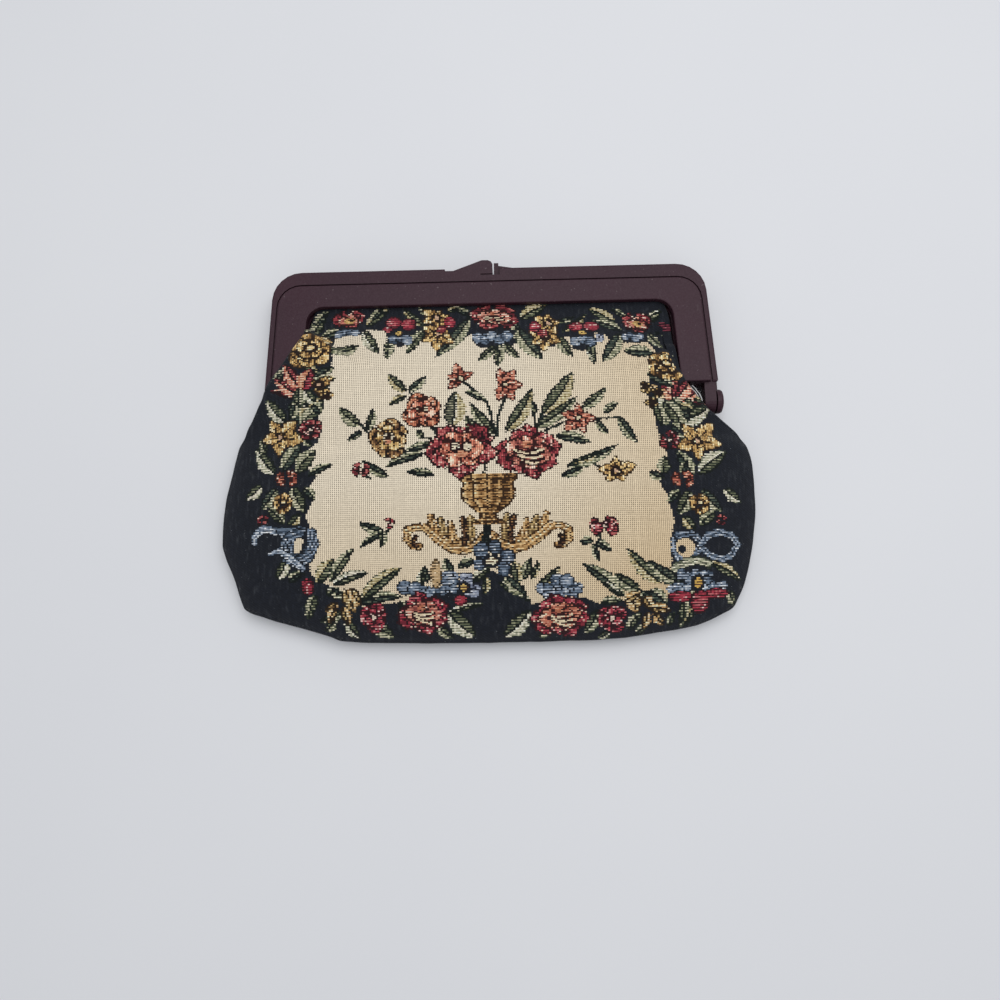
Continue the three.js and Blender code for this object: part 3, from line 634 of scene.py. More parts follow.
leaves = [  # foot, tip, width in mm, cloth colours, and the side that is light
    (47, 240, 55, 262, 4.6, "g", 1), (53, 243, 63, 249, 4.1, "d", 1), (49, 254, 57, 266, 3.6, "d", 1),
    (59, 228, 74, 233, 5.1, "g", -1), (76, 248, 85, 225, 4.6, "p", -1), (90, 238, 89, 220, 3.6, "g", 1),
    (77, 251, 90, 267, 4.1, "o", 1), (80, 256, 86, 269, 3.1, "d", 1), (109, 247, 100, 225, 4.6, "g", -1),
    (109, 250, 97, 267, 3.6, "o", 1), (112, 258, 106, 269, 2.6, "d", 1),
    (121, 263, 132, 268, 3.1, "o", 1), (133, 258, 115, 222, 5.6, "d", 1),
    (133, 259, 125, 266, 3.1, "d", -1), (146, 231, 137, 217, 3.6, "g", 1),
    (148, 232, 147, 212, 4.1, "g", 1), (151, 233, 159, 219, 3.6, "g", -1),
    (160, 255, 175, 267, 5.1, "o", 1), (158, 247, 171, 217, 6.2, "d", -1),
    (156, 252, 160, 243, 3.6, "d", -1), (182, 242, 196, 258, 3.1, "o", -1),
    (179, 251, 190, 256, 2.6, "d", -1), (180, 238, 187, 218, 4.6, "g", -1),
    (197, 230, 198, 211, 3.6, "p", -1), (195, 231, 197, 218, 3.1, "d", 1),
    (213, 239, 202, 213, 5.6, "d", 1), (211, 249, 197, 263, 4.6, "o", -1),
    (214, 241, 198, 252, 4.1, "d", -1), (217, 254, 209, 262, 2.6, "d", -1),
    (229, 254, 238, 260, 2.1, "p", 1), (231, 250, 236, 257, 2.1, "g", 1),
    (230, 222, 214, 223, 5.1, "d", -1), (229, 241, 237, 227, 4.6, "g", -1),
    (233, 243, 237, 236, 2.6, "d", -1), (49, 205, 62, 214, 4.6, "d", -1),
    (37, 171, 26, 191, 5.6, "p", 1), (39, 187, 47, 171, 6.7, "d", 1), (44, 173, 56, 187, 5.1, "o", 1),
    (44, 168, 57, 183, 5.1, "g", 1), (33, 207, 40, 215, 3.6, "d", 1), (31, 132, 20, 154, 5.6, "p", 1),
    (35, 134, 45, 154, 5.6, "d", 1), (43, 132, 53, 149, 6.2, "g", 1), (49, 129, 62, 137, 3.1, "d", 1),
    (44, 195, 51, 185, 4.6, "g", 1), (51, 194, 47, 182, 4.1, "p", -1), (30, 205, 36, 214, 3.6, "d", 1),
    (40, 181, 49, 190, 4.6, "g", 1), (54, 183, 57, 191, 3.1, "o", 1), (45, 218, 53, 209, 3.6, "o", 1),
    (44, 190, 28, 197, 3.3, "c", -1), (46, 191, 30, 208, 4.6, "c", 1), (47, 195, 35, 219, 5.6, "c", 1),
    (46, 195, 50, 213, 6.7, "r", 1), (43, 198, 44, 182, 4.6, "g", 1), (47, 196, 53, 185, 4.6, "p", -1),
    (42, 185, 39, 173, 4.1, "d", 1), (51, 185, 56, 177, 4.1, "d", 1), (54, 201, 63, 205, 3.1, "o", 1),
    (53, 193, 61, 188, 3.1, "a", 1), (44, 164, 51, 152, 3.6, "d", -1), (26, 150, 22, 161, 3.1, "g", 1),
    (234, 199, 241, 206, 3.1, "o", 1), (243, 180, 257, 180, 3.6, "c", -1),
    (241, 182, 254, 191, 5.1, "c", -1), (239, 182, 249, 200, 5.6, "c", -1),
    (239, 182, 233, 194, 5.1, "r", 1), (237, 185, 241, 198, 4.6, "c", 1),
    (228, 186, 231, 174, 4.6, "p", 1), (237, 183, 242, 174, 4.6, "d", 1),
    (244, 182, 251, 174, 4.1, "g", -1), (235, 172, 231, 161, 4.1, "d", 1),
    (226, 194, 230, 186, 3.1, "a", 1), (225, 183, 229, 178, 2.6, "a", -1),
    (239, 155, 244, 146, 3.6, "d", 1), (225, 203, 239, 192, 4.6, "d", 1),
    (239, 165, 259, 178, 6.7, "p", -1), (247, 167, 236, 178, 6.2, "d", 1),
    (229, 179, 232, 161, 5.1, "g", 1), (233, 181, 243, 160, 5.6, "g", 1),
    (237, 163, 241, 157, 4.1, "d", 1), (231, 124, 232, 138, 5.1, "g", 1),
    (246, 122, 238, 142, 5.6, "d", -1), (249, 124, 266, 142, 6.2, "p", 1),
    (240, 124, 244, 135, 3.1, "d", 1), (249, 183, 256, 181, 2.6, "o", 1),
    (223, 125, 231, 121, 3.6, "d", -1), (241, 178, 249, 173, 3.6, "o", 1),
    (24, 124, 15, 114, 4.6, "p", 1), (32, 121, 24, 105, 5.1, "d", 1), (41, 121, 48, 101, 5.6, "g", -1),
    (28, 106, 37, 93, 4.6, "g", 1), (45, 100, 38, 90, 4.1, "o", 1), (47, 120, 53, 110, 3.6, "d", 1),
    (263, 113, 272, 103, 4.6, "p", -1), (251, 112, 261, 95, 5.1, "d", -1),
    (244, 111, 237, 93, 5.6, "g", 1), (257, 95, 248, 84, 4.6, "g", -1), (240, 92, 246, 81, 4.1, "o", -1),
    (239, 111, 232, 102, 3.6, "d", -1), (100, 192, 90, 207, 4.1, "o", 1),
    (101, 192, 110, 205, 3.6, "d", -1), (100, 189, 91, 181, 3.1, "o", -1),
    (76, 166, 65, 181, 4.6, "g", 1), (80, 162, 83, 179, 3.6, "g", -1), (77, 162, 69, 155, 2.6, "d", 1),
    (123, 163, 125, 191, 7.7, "m", -1), (141, 182, 130, 191, 2.6, "d", -1),
    (145, 156, 133, 181, 4.6, "g", 1), (138, 156, 130, 171, 4.1, "g", 1),
    (113, 150, 99, 144, 3.1, "d", -1), (109, 143, 89, 133, 3.6, "d", -1),
    (91, 126, 77, 139, 3.6, "d", 1), (114, 126, 100, 129, 3.1, "d", -1),
    (170, 171, 186, 205, 7.2, "o", -1), (165, 160, 188, 185, 4.6, "g", -1),
    (151, 158, 165, 192, 5.6, "o", -1), (167, 172, 165, 182, 2.1, "d", 1),
    (190, 175, 203, 192, 4.1, "g", -1), (201, 171, 209, 180, 3.1, "g", 1),
    (209, 168, 218, 148, 4.1, "d", -1), (197, 166, 203, 155, 3.1, "d", -1),
    (176, 154, 194, 148, 4.1, "d", 1), (181, 130, 207, 146, 4.1, "d", -1),
    (183, 133, 200, 142, 2.6, "o", -1), (171, 141, 178, 144, 3.1, "d", 1),
    (178, 123, 190, 130, 3.1, "d", -1), (109, 155, 105, 161, 2.6, "g", 1), (89, 84, 76, 92, 3.6, "d", 1),
    (89, 85, 76, 73, 2.6, "d", -1), (88, 86, 87, 73, 3.1, "g", 1), (193, 75, 186, 73, 3.1, "d", -1),
    (194, 74, 202, 66, 3.1, "d", 1), (193, 72, 196, 59, 2.6, "d", -1), (133, 62, 125, 57, 3.6, "d", -1),
    (141, 56, 131, 45, 3.6, "p", -1), (155, 44, 153, 61, 4.6, "o", -1), (158, 47, 162, 63, 3.6, "g", 1),
    (162, 47, 165, 61, 2.6, "o", -1), (164, 39, 176, 56, 4.1, "o", -1), (145, 46, 161, 31, 3.6, "p", 1),
    (159, 35, 148, 51, 4.6, "d", 1), (110, 46, 108, 59, 3.1, "d", 1), (122, 52, 119, 64, 3.6, "d", 1),
    (107, 44, 107, 56, 3.1, "p", 1), (139, 50, 138, 37, 3.1, "o", 1), (119, 23, 138, 30, 2.6, "p", 1),
    (120, 24, 133, 6, 7.2, "p", -1), (113, 16, 122, 5, 3.6, "g", -1), (74, 33, 97, 37, 4.1, "d", 1),
    (76, 35, 97, 58, 5.1, "o", 1), (148, 6, 161, 25, 6.2, "p", -1), (165, 5, 171, 11, 3.1, "g", -1),
    (54, 48, 63, 66, 5.1, "o", 1), (61, 49, 73, 73, 4.1, "g", 1), (62, 47, 80, 55, 4.1, "p", 1),
    (53, 40, 48, 21, 4.1, "g", -1), (67, 27, 54, 20, 3.6, "g", 1), (62, 21, 56, 12, 3.6, "g", 1),
    (68, 22, 74, 6, 4.1, "p", -1), (81, 19, 92, 7, 5.1, "g", -1), (58, 43, 68, 37, 4.1, "p", 1),
    (68, 37, 60, 45, 3.1, "d", 1), (33, 52, 39, 68, 4.6, "p", -1), (48, 55, 41, 66, 3.6, "g", -1),
    (39, 50, 47, 57, 3.6, "d", 1), (208, 33, 187, 58, 4.6, "d", -1), (206, 33, 196, 45, 2.6, "p", -1),
    (216, 37, 203, 50, 4.6, "g", 1), (227, 42, 210, 68, 5.1, "o", 1), (238, 41, 220, 59, 5.1, "d", 1),
    (221, 37, 230, 26, 5.1, "d", 1), (222, 30, 216, 37, 3.6, "d", 1), (239, 31, 237, 9, 4.1, "g", 1),
    (245, 25, 239, 9, 3.1, "o", -1), (253, 57, 270, 43, 4.1, "o", 1), (263, 36, 267, 24, 4.1, "g", -1),
    (196, 29, 207, 30, 3.1, "g", 1), (195, 24, 188, 6, 4.6, "g", 1), (201, 7, 195, 3, 3.1, "p", 1),
    (210, 8, 217, 21, 3.6, "g", 1), (214, 5, 221, 11, 3.1, "g", 1), (231, 10, 234, 21, 3.1, "g", 1),
    (96, 34, 98, 11, 4.1, "g", 1), (242, 29, 247, 37, 3.1, "g", 1), (68, 43, 72, 26, 5.6, "a", 1),
    (71, 44, 76, 31, 4.1, "a", -1), (64, 33, 57, 28, 3.1, "a", 1), (63, 31, 59, 18, 3.1, "a", -1),
    (66, 31, 69, 16, 3.6, "a", 1), (212, 37, 215, 21, 5.6, "a", -1), (208, 29, 216, 35, 3.6, "a", 1),
    (218, 33, 222, 23, 3.6, "a", 1), (221, 24, 232, 22, 3.6, "a", 1), (223, 21, 229, 11, 3.1, "a", -1),
    (220, 21, 218, 9, 3.1, "a", 1),
]
stems = [  # points, width in mm
    ([(101, 193), (104, 187)], 0.6), ([(76, 168), (79, 162), (82, 159)], 0.6),
    ([(83, 178), (82, 160)], 0.5), ([(109, 155), (113, 154)], 0.5),
    ([(127, 202), (134, 193), (141, 183), (143, 174), (145, 158)], 0.8), ([(112, 165), (117, 156)], 1.1),
    ([(123, 165), (126, 158)], 0.6), ([(197, 167), (209, 168)], 0.6), ([(171, 158), (180, 164)], 0.6),
    ([(170, 173), (167, 163), (164, 158)], 0.8), ([(165, 173), (166, 160)], 0.7),
    ([(193, 133), (200, 128)], 0.6), ([(225, 193), (230, 184), (233, 178)], 0.7),
    ([(227, 179), (234, 180)], 0.6), ([(137, 157), (140, 129)], 0.9),
    ([(151, 186), (147, 171), (146, 155)], 0.9), ([(54, 191), (59, 199)], 0.6),
    ([(76, 129), (82, 125)], 0.5), ([(148, 203), (148, 183)], 0.0), ([(90, 84), (92, 89)], 0.7),
    ([(196, 75), (197, 80)], 0.7), ([(139, 126), (140, 73)], 1.1),
]
flowers = [  # middle, half sizes in mm, sort, petals, turn
    (68, 258, 6.0, 3.9, "red", 6, 0.2), (146, 257, 8.9, 5.3, "redpale", 7, 0.3),
    (223, 249, 6.0, 3.9, "red", 6, 0.2), (49, 229, 8.2, 7.1, "yellowrose", 7, 0.1),
    (50, 165, 4.3, 3.9, "magenta", 5, 0.4), (236, 210, 6.7, 6.0, "yellowrose", 6, 0.4),
    (235, 150, 3.9, 3.5, "magenta", 5, 0.3), (108, 176, 7.1, 6.4, "orangerose", 8, 0.2),
    (91, 155, 6.7, 7.1, "brownrose", 8, 0.5), (128, 145, 12.8, 9.6, "peony", 9, 0.3),
    (162, 142, 11.7, 9.2, "peony2", 9, 0.1), (77, 132, 3.2, 3.2, "magenta", 4, 0.6),
    (199, 85, 5.7, 2.8, "magenta", 5, 0.2), (91, 91, 2.1, 1.8, "magenta", 3, 0.2),
    (107, 24, 8.9, 7.1, "rose", 9, 0.2), (176, 20, 10.6, 7.1, "rose2", 9, 0.4),
    (82, 22, 5.0, 5.0, "bright", 6, 0.3), (202, 17, 5.0, 5.0, "bright", 6, 0.3),
    (38, 128, 4.3, 2.5, "rosered", 5, 0.2), (241, 120, 4.3, 2.5, "rosered", 5, 0.2),
    (36, 109, 3.9, 3.5, "yellowrose", 6, 0.4), (249, 101, 3.9, 3.5, "yellowrose", 6, 0.3),
    (25, 97, 2.1, 1.8, "crimson", 4, 0.5), (260, 89, 2.1, 1.8, "crimson", 4, 0.4),
]
stars = [  # middle, tips, colour
    ((128, 202), [(125, 215), (121, 204), (122, 194), (126, 197), (134, 207)], "coral"),
    ((151, 196), [(148, 210), (156, 208), (160, 195), (155, 183), (147, 183), (147, 196)], "coral"),
    ((188, 168), [(188, 179), (180, 171), (181, 158), (191, 156), (197, 167)], "coral"),
    ((33, 161), [(28, 174), (42, 172), (46, 157), (33, 146), (23, 160)], "gold"),
    ((250, 150), [(243, 163), (260, 165), (263, 148), (250, 135), (239, 144)], "gold"),
    ((206, 126), [(206, 137), (197, 128), (201, 119), (210, 119), (216, 131)], "gold"),
    ((115, 258), [(108, 265), (117, 265), (123, 257), (120, 242), (108, 254)], "gold"),
    ((116, 243), [(108, 250), (108, 236), (115, 227), (124, 234), (121, 246)], "gold"),
    ((175, 250), [(168, 256), (175, 259), (181, 251), (179, 240), (170, 244)], "gold"),
    ((173, 238), [(165, 243), (166, 231), (172, 224), (181, 232), (177, 244)], "gold"),
    ((54, 200), [(50, 202), (54, 192), (56, 200), (61, 205)], "gold"),
    ((58, 191), [(54, 195), (57, 188), (62, 191), (59, 197)], "gold"),
    ((224, 193), [(222, 196), (222, 188), (225, 186), (226, 195)], "goldbrown"),
    ((231, 187), [(229, 191), (229, 183), (233, 183), (233, 190)], "goldbrown"),
    ((227, 179), [(223, 180), (226, 175), (230, 178), (228, 183)], "goldbrown"),
]
ribbons = [  # points, widths in mm, colour, depth of colour
    ([(39, 80), (42, 75), (43, 68)], [4.3, 5.0, 3.5], "blue", 0.4),
    ([(21, 80), (21, 85), (25, 90), (30, 89), (36, 86), (41, 83)],
     [1.8, 2.5, 2.8, 2.5, 2.5, 2.5], "blue", 0.72),
    ([(35, 88), (43, 88), (50, 86)], [2.8, 3.2, 2.8], "blue", 0.5),
    ([(51, 86), (52, 77), (49, 68), (44, 64), (39, 66), (36, 72), (37, 79), (40, 84), (45, 86)],
     [3.2, 4.3, 4.3, 3.5, 2.8, 2.5, 2.5, 2.8, 3.2], "blue", 0.5),
    ([(29, 71), (34, 73), (40, 68), (47, 59)], [1.1, 1.8, 2.1, 1.8], "blue", 0.74),
    ([(234, 73), (237, 78), (244, 79), (247, 75)], [2.1, 2.5, 2.1, 2.1], "blue", 0.5),
    ([(246, 77), (248, 71), (246, 63), (241, 59), (236, 60), (234, 67), (234, 74)],
     [1.8, 2.1, 2.1, 2.5, 2.1, 2.1, 1.8], "blue", 0.6),
    ([(248, 70), (252, 77), (259, 80), (266, 77), (269, 70), (265, 62), (260, 59), (253, 62), (249, 67)],
     [1.8, 2.5, 2.5, 2.5, 2.5, 2.1, 2.1, 2.1, 2.1], "blue", 0.58),
    ([(234, 53), (240, 57), (246, 59), (252, 56)], [2.8, 2.8, 2.5, 2.5], "pale", 0.6),
]
scrolls = [  # as ribbons
    ([(115, 80), (113, 88), (112, 95)], [3.2, 2.8, 1.8], "amber", 0.56),
    ([(120, 75), (118, 85), (117, 93)], [3.2, 2.8, 1.4], "goldbrown", 0.62),
    ([(126, 72), (123, 80), (122, 90)], [3.5, 2.8, 1.4], "amber", 0.56),
    ([(131, 72), (132, 83), (132, 93)], [3.2, 2.8, 2.1], "goldbrown", 0.6),
    ([(129, 73), (129, 82), (128, 92)], [1.8, 1.8, 1.8], "brown", 0.2),
    ([(106, 73), (103, 74), (100, 79), (100, 85), (104, 87), (109, 87), (113, 82), (118, 76),
      (123, 71), (129, 70), (135, 73), (138, 80)],
     [1.8, 2.5, 2.5, 2.5, 2.1, 2.5, 3.2, 3.5, 3.2, 2.8, 2.5, 1.8], "amber", 0.58),
    ([(104, 80), (103, 76), (105, 73)], [1.4, 1.4, 1.1], "brown", 0.12),
    ([(166, 80), (168, 87), (170, 95)], [3.2, 2.8, 1.8], "amber", 0.56),
    ([(161, 75), (163, 85), (165, 93)], [3.2, 2.8, 1.4], "goldbrown", 0.62),
    ([(155, 72), (158, 80), (160, 91)], [3.5, 2.8, 1.4], "amber", 0.56),
    ([(150, 73), (149, 84), (150, 94)], [3.2, 2.8, 2.1], "goldbrown", 0.6),
    ([(152, 73), (152, 83), (154, 93)], [1.8, 1.8, 1.8], "brown", 0.2),
    ([(175, 72), (178, 73), (181, 77), (181, 83), (177, 86), (172, 86), (168, 81), (163, 76),
      (158, 71), (152, 70), (146, 74), (143, 81)],
     [1.8, 2.5, 2.5, 2.5, 2.1, 2.5, 3.2, 3.5, 3.2, 2.8, 2.5, 1.8], "amber", 0.58),
    ([(177, 79), (178, 74), (176, 72)], [1.4, 1.4, 1.1], "brown", 0.12),
    ([(140, 90), (140, 81), (139, 73)], [2.5, 2.1, 3.2], "dark", 0.05),
]
vases = [  # middle column, rows of height and half width in mm, colour
    (141, [(126, 10.3), (122, 11.0), (119, 8.9), (114, 9.9), (107, 9.6), (101, 6.7), (96, 3.5),
      (93, 3.2), (90, 5.7), (88, 6.7)], "amber"),
]
shadedRecess = [  # outline of the cloth sunk beside the right arm, painted navy as painted shade
    (233, 240), (236, 229), (238, 218), (241, 208), (245, 200), (253, 198), (255, 239), (241, 242),
]
recessThreads = [
    [(237, 239), (240, 231), (241, 221)], [(239, 242), (242, 231)], [(240, 228), (242, 216)],
]
eyes = [  # middle, half sizes in mm, colour: ground or dark inside the bows
    (44, 76, 1.5, 2.5, "cream"), (45, 80, 1.4, 1.2, "cream"), (240, 68, 3.6, 3.4, "cream"),
    (238, 67, 1.7, 1.4, "blue"), (258, 70, 3.6, 2.9, "ink"),
]
blues = [  # middle, half sizes in mm, colour
    (67, 246, 5.0, 1.8, "blue"), (96, 239, 4.6, 2.5, "blue"), (145, 238, 8.2, 2.8, "blue"),
    (193, 233, 5.0, 2.5, "blue"), (220, 236, 4.6, 1.8, "blue"), (202, 235, 1.4, 2.1, "lilac"),
    (101, 43, 4.3, 2.8, "blue"), (109, 40, 2.5, 2.1, "blue"), (121, 49, 3.2, 2.8, "blue"),
    (120, 41, 3.5, 2.1, "blue"), (129, 48, 2.5, 2.5, "lilac"), (132, 40, 2.8, 2.5, "lilac"),
    (176, 38, 7.1, 2.5, "blue"), (177, 45, 3.9, 2.8, "blue"), (168, 40, 2.8, 2.1, "blue"),
    (184, 40, 2.5, 2.1, "blue"), (115, 40, 2.8, 1.4, "blue"), (236, 39, 4.6, 1.8, "blue"),
    (255, 39, 5.3, 2.1, "blue"), (241, 47, 4.6, 2.5, "blue"), (250, 46, 3.2, 2.5, "blue"),
]
lobes = [  # middle, half sizes in mm, colour
    (114, 53, 1.8, 4.6, "tan"), (92, 254, 2.8, 2.5, "cerise"), (100, 252, 2.8, 2.5, "cerise"),
    (89, 248, 1.8, 1.4, "cerise"), (190, 246, 2.8, 2.1, "cerise"), (198, 246, 2.8, 2.1, "cerise"),
    (122, 253, 2.1, 2.5, "cerise"), (118, 247, 1.8, 1.8, "crimson"), (168, 247, 2.1, 2.5, "cerise"),
    (172, 241, 1.8, 1.8, "crimson"), (240, 245, 2.1, 1.4, "wine"), (237, 248, 1.4, 1.1, "wine"),
    (137, 69, 2.5, 2.8, "blue"), (144, 71, 2.1, 2.5, "blue"), (150, 64, 2.5, 2.5, "blue"),
    (136, 59, 2.1, 2.1, "blue"), (148, 55, 2.1, 2.5, "blue"), (237, 32, 4.3, 1.8, "cerise"),
    (256, 34, 4.3, 1.8, "cerise"), (247, 28, 3.2, 3.9, "cerise"), (49, 46, 2.1, 2.8, "cerise"),
    (126, 33, 2.1, 1.8, "cerise"),
]
hearts = [  # middle, half sizes in mm, colour
    (142, 61, 2.8, 1.8, "pale"), (95, 244, 1.8, 1.4, "yellow"), (246, 42, 2.1, 2.5, "gold"),
    (128, 42, 1.8, 1.8, "yellow"), (193, 240, 1.8, 1.4, "yellow"),
]
field = [  # outline of the cream ground
    (60, 241), (63, 244), (75, 243), (76, 248), (88, 247), (89, 235), (96, 231), (102, 235), (104, 238),
    (108, 243), (112, 236), (117, 232), (123, 231), (128, 238), (134, 242), (137, 230), (146, 227),
    (154, 228), (159, 235), (166, 226), (172, 227), (178, 228), (180, 236), (186, 237), (187, 225),
    (193, 223), (196, 230), (200, 240), (204, 239), (207, 233), (213, 230), (228, 232), (231, 224),
    (228, 216), (226, 209), (228, 200), (224, 193), (225, 183), (229, 177), (228, 163), (230, 153),
    (230, 145), (233, 141), (232, 127), (228, 118), (232, 107), (234, 95), (235, 87), (233, 78),
    (232, 48), (236, 37), (227, 27), (216, 33), (206, 30), (196, 28), (188, 33), (176, 34), (162, 29),
    (156, 40), (147, 51), (140, 55), (131, 49), (123, 39), (111, 38), (98, 33), (88, 32), (79, 28),
    (71, 37), (60, 46), (51, 54), (50, 66), (51, 88), (48, 98), (52, 110), (50, 121), (54, 129),
    (47, 137), (48, 148), (54, 155), (56, 164), (54, 174), (57, 184), (58, 194), (54, 204), (60, 210),
    (61, 220),
]


def spot(column, row):
    return stitch["left"] + column * stitch["across"], stitch["foot"] + row * stitch["up"]


def spots(points):
    return [spot(*point) for point in points]


def drawChart():
    chart = Chart()
    chart.ground(spots(field))
    for points, width in stems:
        chart.stem(spots(points), width)
    for x0, y0, x1, y1, width, kind, side in leaves:
        chart.leaf(*spot(x0, y0), *spot(x1, y1), width, kind, side)
    for points, widths, name, depth in ribbons:
        chart.band(spots(points), widths, name, depth)
    for x, y, across, up, name in eyes:
        chart.eye(*spot(x, y), across, up, name)
    for points, widths, name, depth in scrolls:
        chart.band(spots(points), widths, name, depth)
    for column, rows, name in vases:
        x = spot(column, 0)[0]
        chart.vase(x, [(spot(0, row)[1], half) for row, half in rows], name)
    for x, y, across, up, name in blues:
        chart.blue(*spot(x, y), across, up, name)
    for x, y, across, up, kind, petals, turn in flowers:
        chart.flower(*spot(x, y), across, up, kind, petals, turn)
    for middle, tips, name in stars:
        chart.star(spot(*middle), spots(tips), name)
    for x, y, across, up, name in lobes:
        chart.lobe(*spot(x, y), across, up, name)
    for x, y, across, up, name in hearts:
        chart.heart(*spot(x, y), across, up, name)
    # painted shade on the sunk cloth beyond the fold
    chart.shadeOver(spots(shadedRecess))
    for points in recessThreads:
        chart.stem(spots(points), 0.45, "pale")
    chart.finish()
    return chart


# The same lengths and shares as the solids, in mm. Here x and y count from the hinge pins' line
# and the frame's middle; hingeAt moves them to the clutch's own axes.
print("pouch surfaces")
hingeAt = (1.895, 15.5)
pouch = {
    "width": 199.5,
    "drop": 88.6,
    "crown": 21.0,
    "wall": 1.6,
    "hemLevel": 4.3,
    "hemGap": 0.3,
    "middle": 0.28,
}
frameSize = {
    "width": 166.2,
    "rise": 54.2,
    "lean": 3.2,
    "topBand": 5.7,
    "topPlate": 9.2,
    "armBand": 2.5,
    "armPlate": 11.7,
    "depth": 13.0,
    "mouthCorner": 6.5,
    "clearance": 0.35,
    "tuck": 3.0,
    "slotMiddle": 3.0,
}
leftFold = [
    (-0.05, 0.80, 0.60), (-0.04, 0.76, 1.00), (0.03, 0.715, 1.00), (0.225, 0.621, 1.00),
    (0.43, 0.520, 1.00), (0.60, 0.430, 1.00), (0.78, 0.345, 1.00), (0.95, 0.270, 1.00),
    (1.08, 0.205, 0.98), (1.165, 0.126, 0.96), (1.21, 0.070, 0.93), (1.30, 0.015, 0.89),
    (1.40, -0.022, 0.82), (1.53, -0.050, 0.64), (1.70, -0.080, 0.42), (1.83, -0.115, 0.22),
]
rightFold = [
    (-0.09, 0.57, 0.75), (-0.09, 0.51, 1.00), (-0.06, 0.40, 1.00), (-0.03, 0.28, 1.00),
    (0.07, 0.177, 1.00), (0.22, 0.095, 0.98), (0.39, 0.020, 0.94), (0.56, -0.020, 0.90),
    (0.72, -0.046, 0.84), (0.91, -0.060, 0.64), (1.10, -0.075, 0.44), (1.28, -0.092, 0.27),
    (1.50, -0.115, 0.14), (1.72, -0.142, 0.06),
]
backFold = [
    (-0.05, 0.60), (-0.05, 0.20), (-0.02, 0.03), (0.30, -0.046), (0.60, -0.074), (0.95, -0.086),
    (1.30, -0.090),
]
hem = [
    (0.945, -0.172), (0.966, -0.207), (0.980, -0.290), (0.980, -0.432), (0.975, -0.517),
    (0.945, -0.685), (0.918, -0.781), (0.887, -0.850), (0.868, -0.883), (0.829, -0.906),
    (0.745, -0.945), (0.660, -0.965), (0.560, -0.980), (0.412, -0.997), (0.229, -1.000),
    (-0.064, -1.000), (-0.250, -0.997), (-0.430, -0.990), (-0.570, -0.978), (-0.614, -0.960),
    (-0.724, -0.921), (-0.865, -0.872), (-0.922, -0.845), (-0.938, -0.813), (-0.969, -0.717),
    (-1.008, -0.611), (-1.018, -0.569), (-1.011, -0.398), (-0.990, -0.279), (-0.967, -0.163),
]
lean = math.radians(frameSize["lean"])
armTall = frameSize["rise"] - frameSize["topBand"] - frameSize["topPlate"]
tucked = frameSize["tuck"] + frameSize["clearance"]
heldShare = 1 - tucked / (armTall + frameSize["tuck"] + pouch["middle"] * pouch["drop"])


def mouthSide(y):
    arm = (frameSize["armBand"] + frameSize["armPlate"]) / math.cos(lean)
    return frameSize["width"] / 2 + (frameSize["rise"] - y) * math.tan(lean) - arm


def mouthEdge(hand, lip):
    # tucked along the top bar, then down just inside the mouth's corner
    top = armTall + frameSize["tuck"]
    corner = mouthSide(armTall) - frameSize["mouthCorner"] * 0.5
    side = mouthSide(armTall) - 2.4 * frameSize["clearance"]
    spots = [(hand * corner * share, top) for share in (0, 0.25, 0.5, 0.75, 1)]
    spots.append((hand * (side - frameSize["mouthCorner"] * 0.25), armTall))
    spots.append((hand * side, armTall - frameSize["mouthCorner"] * 0.8))
    return [(x, y, lip, 1.5, heldShare) for x, y in spots]


def foldEdge(hand, table, front):
    over = frameSize["depth"] + frameSize["clearance"]
    edge = []
    for i, (out, up, *level) in enumerate(table):
        y = up * (armTall if up > 0 else pouch["drop"])
        lip = pouch["hemLevel"]
        if front:
            lip += (over - lip) * level[0]
        roll = max(0.75, 1.1 - 0.1 * i) if front else 0.8
        edge.append((hand * (mouthSide(y) + out * frameSize["armPlate"]), y, lip, roll, 1))
    return edge


def panelEdge(front):
    # rows of x, y, lip, roll and held share, once round a panel
    side = 1 if front else -1
    tuckLevel = frameSize["depth"] / 2 + side * (frameSize["slotMiddle"] - pouch["wall"] / 2)
    lip = pouch["hemLevel"] + (pouch["hemGap"] if front else 0)
    roll = 0.62 if front else 0.8
    lower = [(across * pouch["width"] / 2, up * pouch["drop"], lip, roll, 1) for across, up in hem]
    right = mouthEdge(1, tuckLevel) + foldEdge(1, rightFold if front else backFold, front)
    left = mouthEdge(-1, tuckLevel) + foldEdge(-1, leftFold if front else backFold, front)
    return np.array(right + lower + left[1:][::-1], float)


def smoothLoop(points, steps):
    loop = []
    for i in range(len(points)):
        before, a, b, after = (points[(i + k) % len(points)] for k in (-1, 0, 1, 2))
        gap = np.linalg.norm((b - a)[:2])
        leaveA = (b - before) / (np.linalg.norm((b - before)[:2]) + 1e-9) * gap
        reachB = (after - a) / (np.linalg.norm((after - a)[:2]) + 1e-9) * gap
        for k in range(steps):
            t = k / steps
            loop.append(
                (2 * t**3 - 3 * t**2 + 1) * a + (t**3 - 2 * t**2 + t) * leaveA
                + (3 * t**2 - 2 * t**3) * b + (t**3 - t**2) * reachB
            )
    return np.array(loop)


def calmed(edge, reach=6):
    total = sum(np.roll(edge[:, 2:], -k, axis=0) for k in range(-reach, reach + 1))
    return total / (2 * reach + 1)


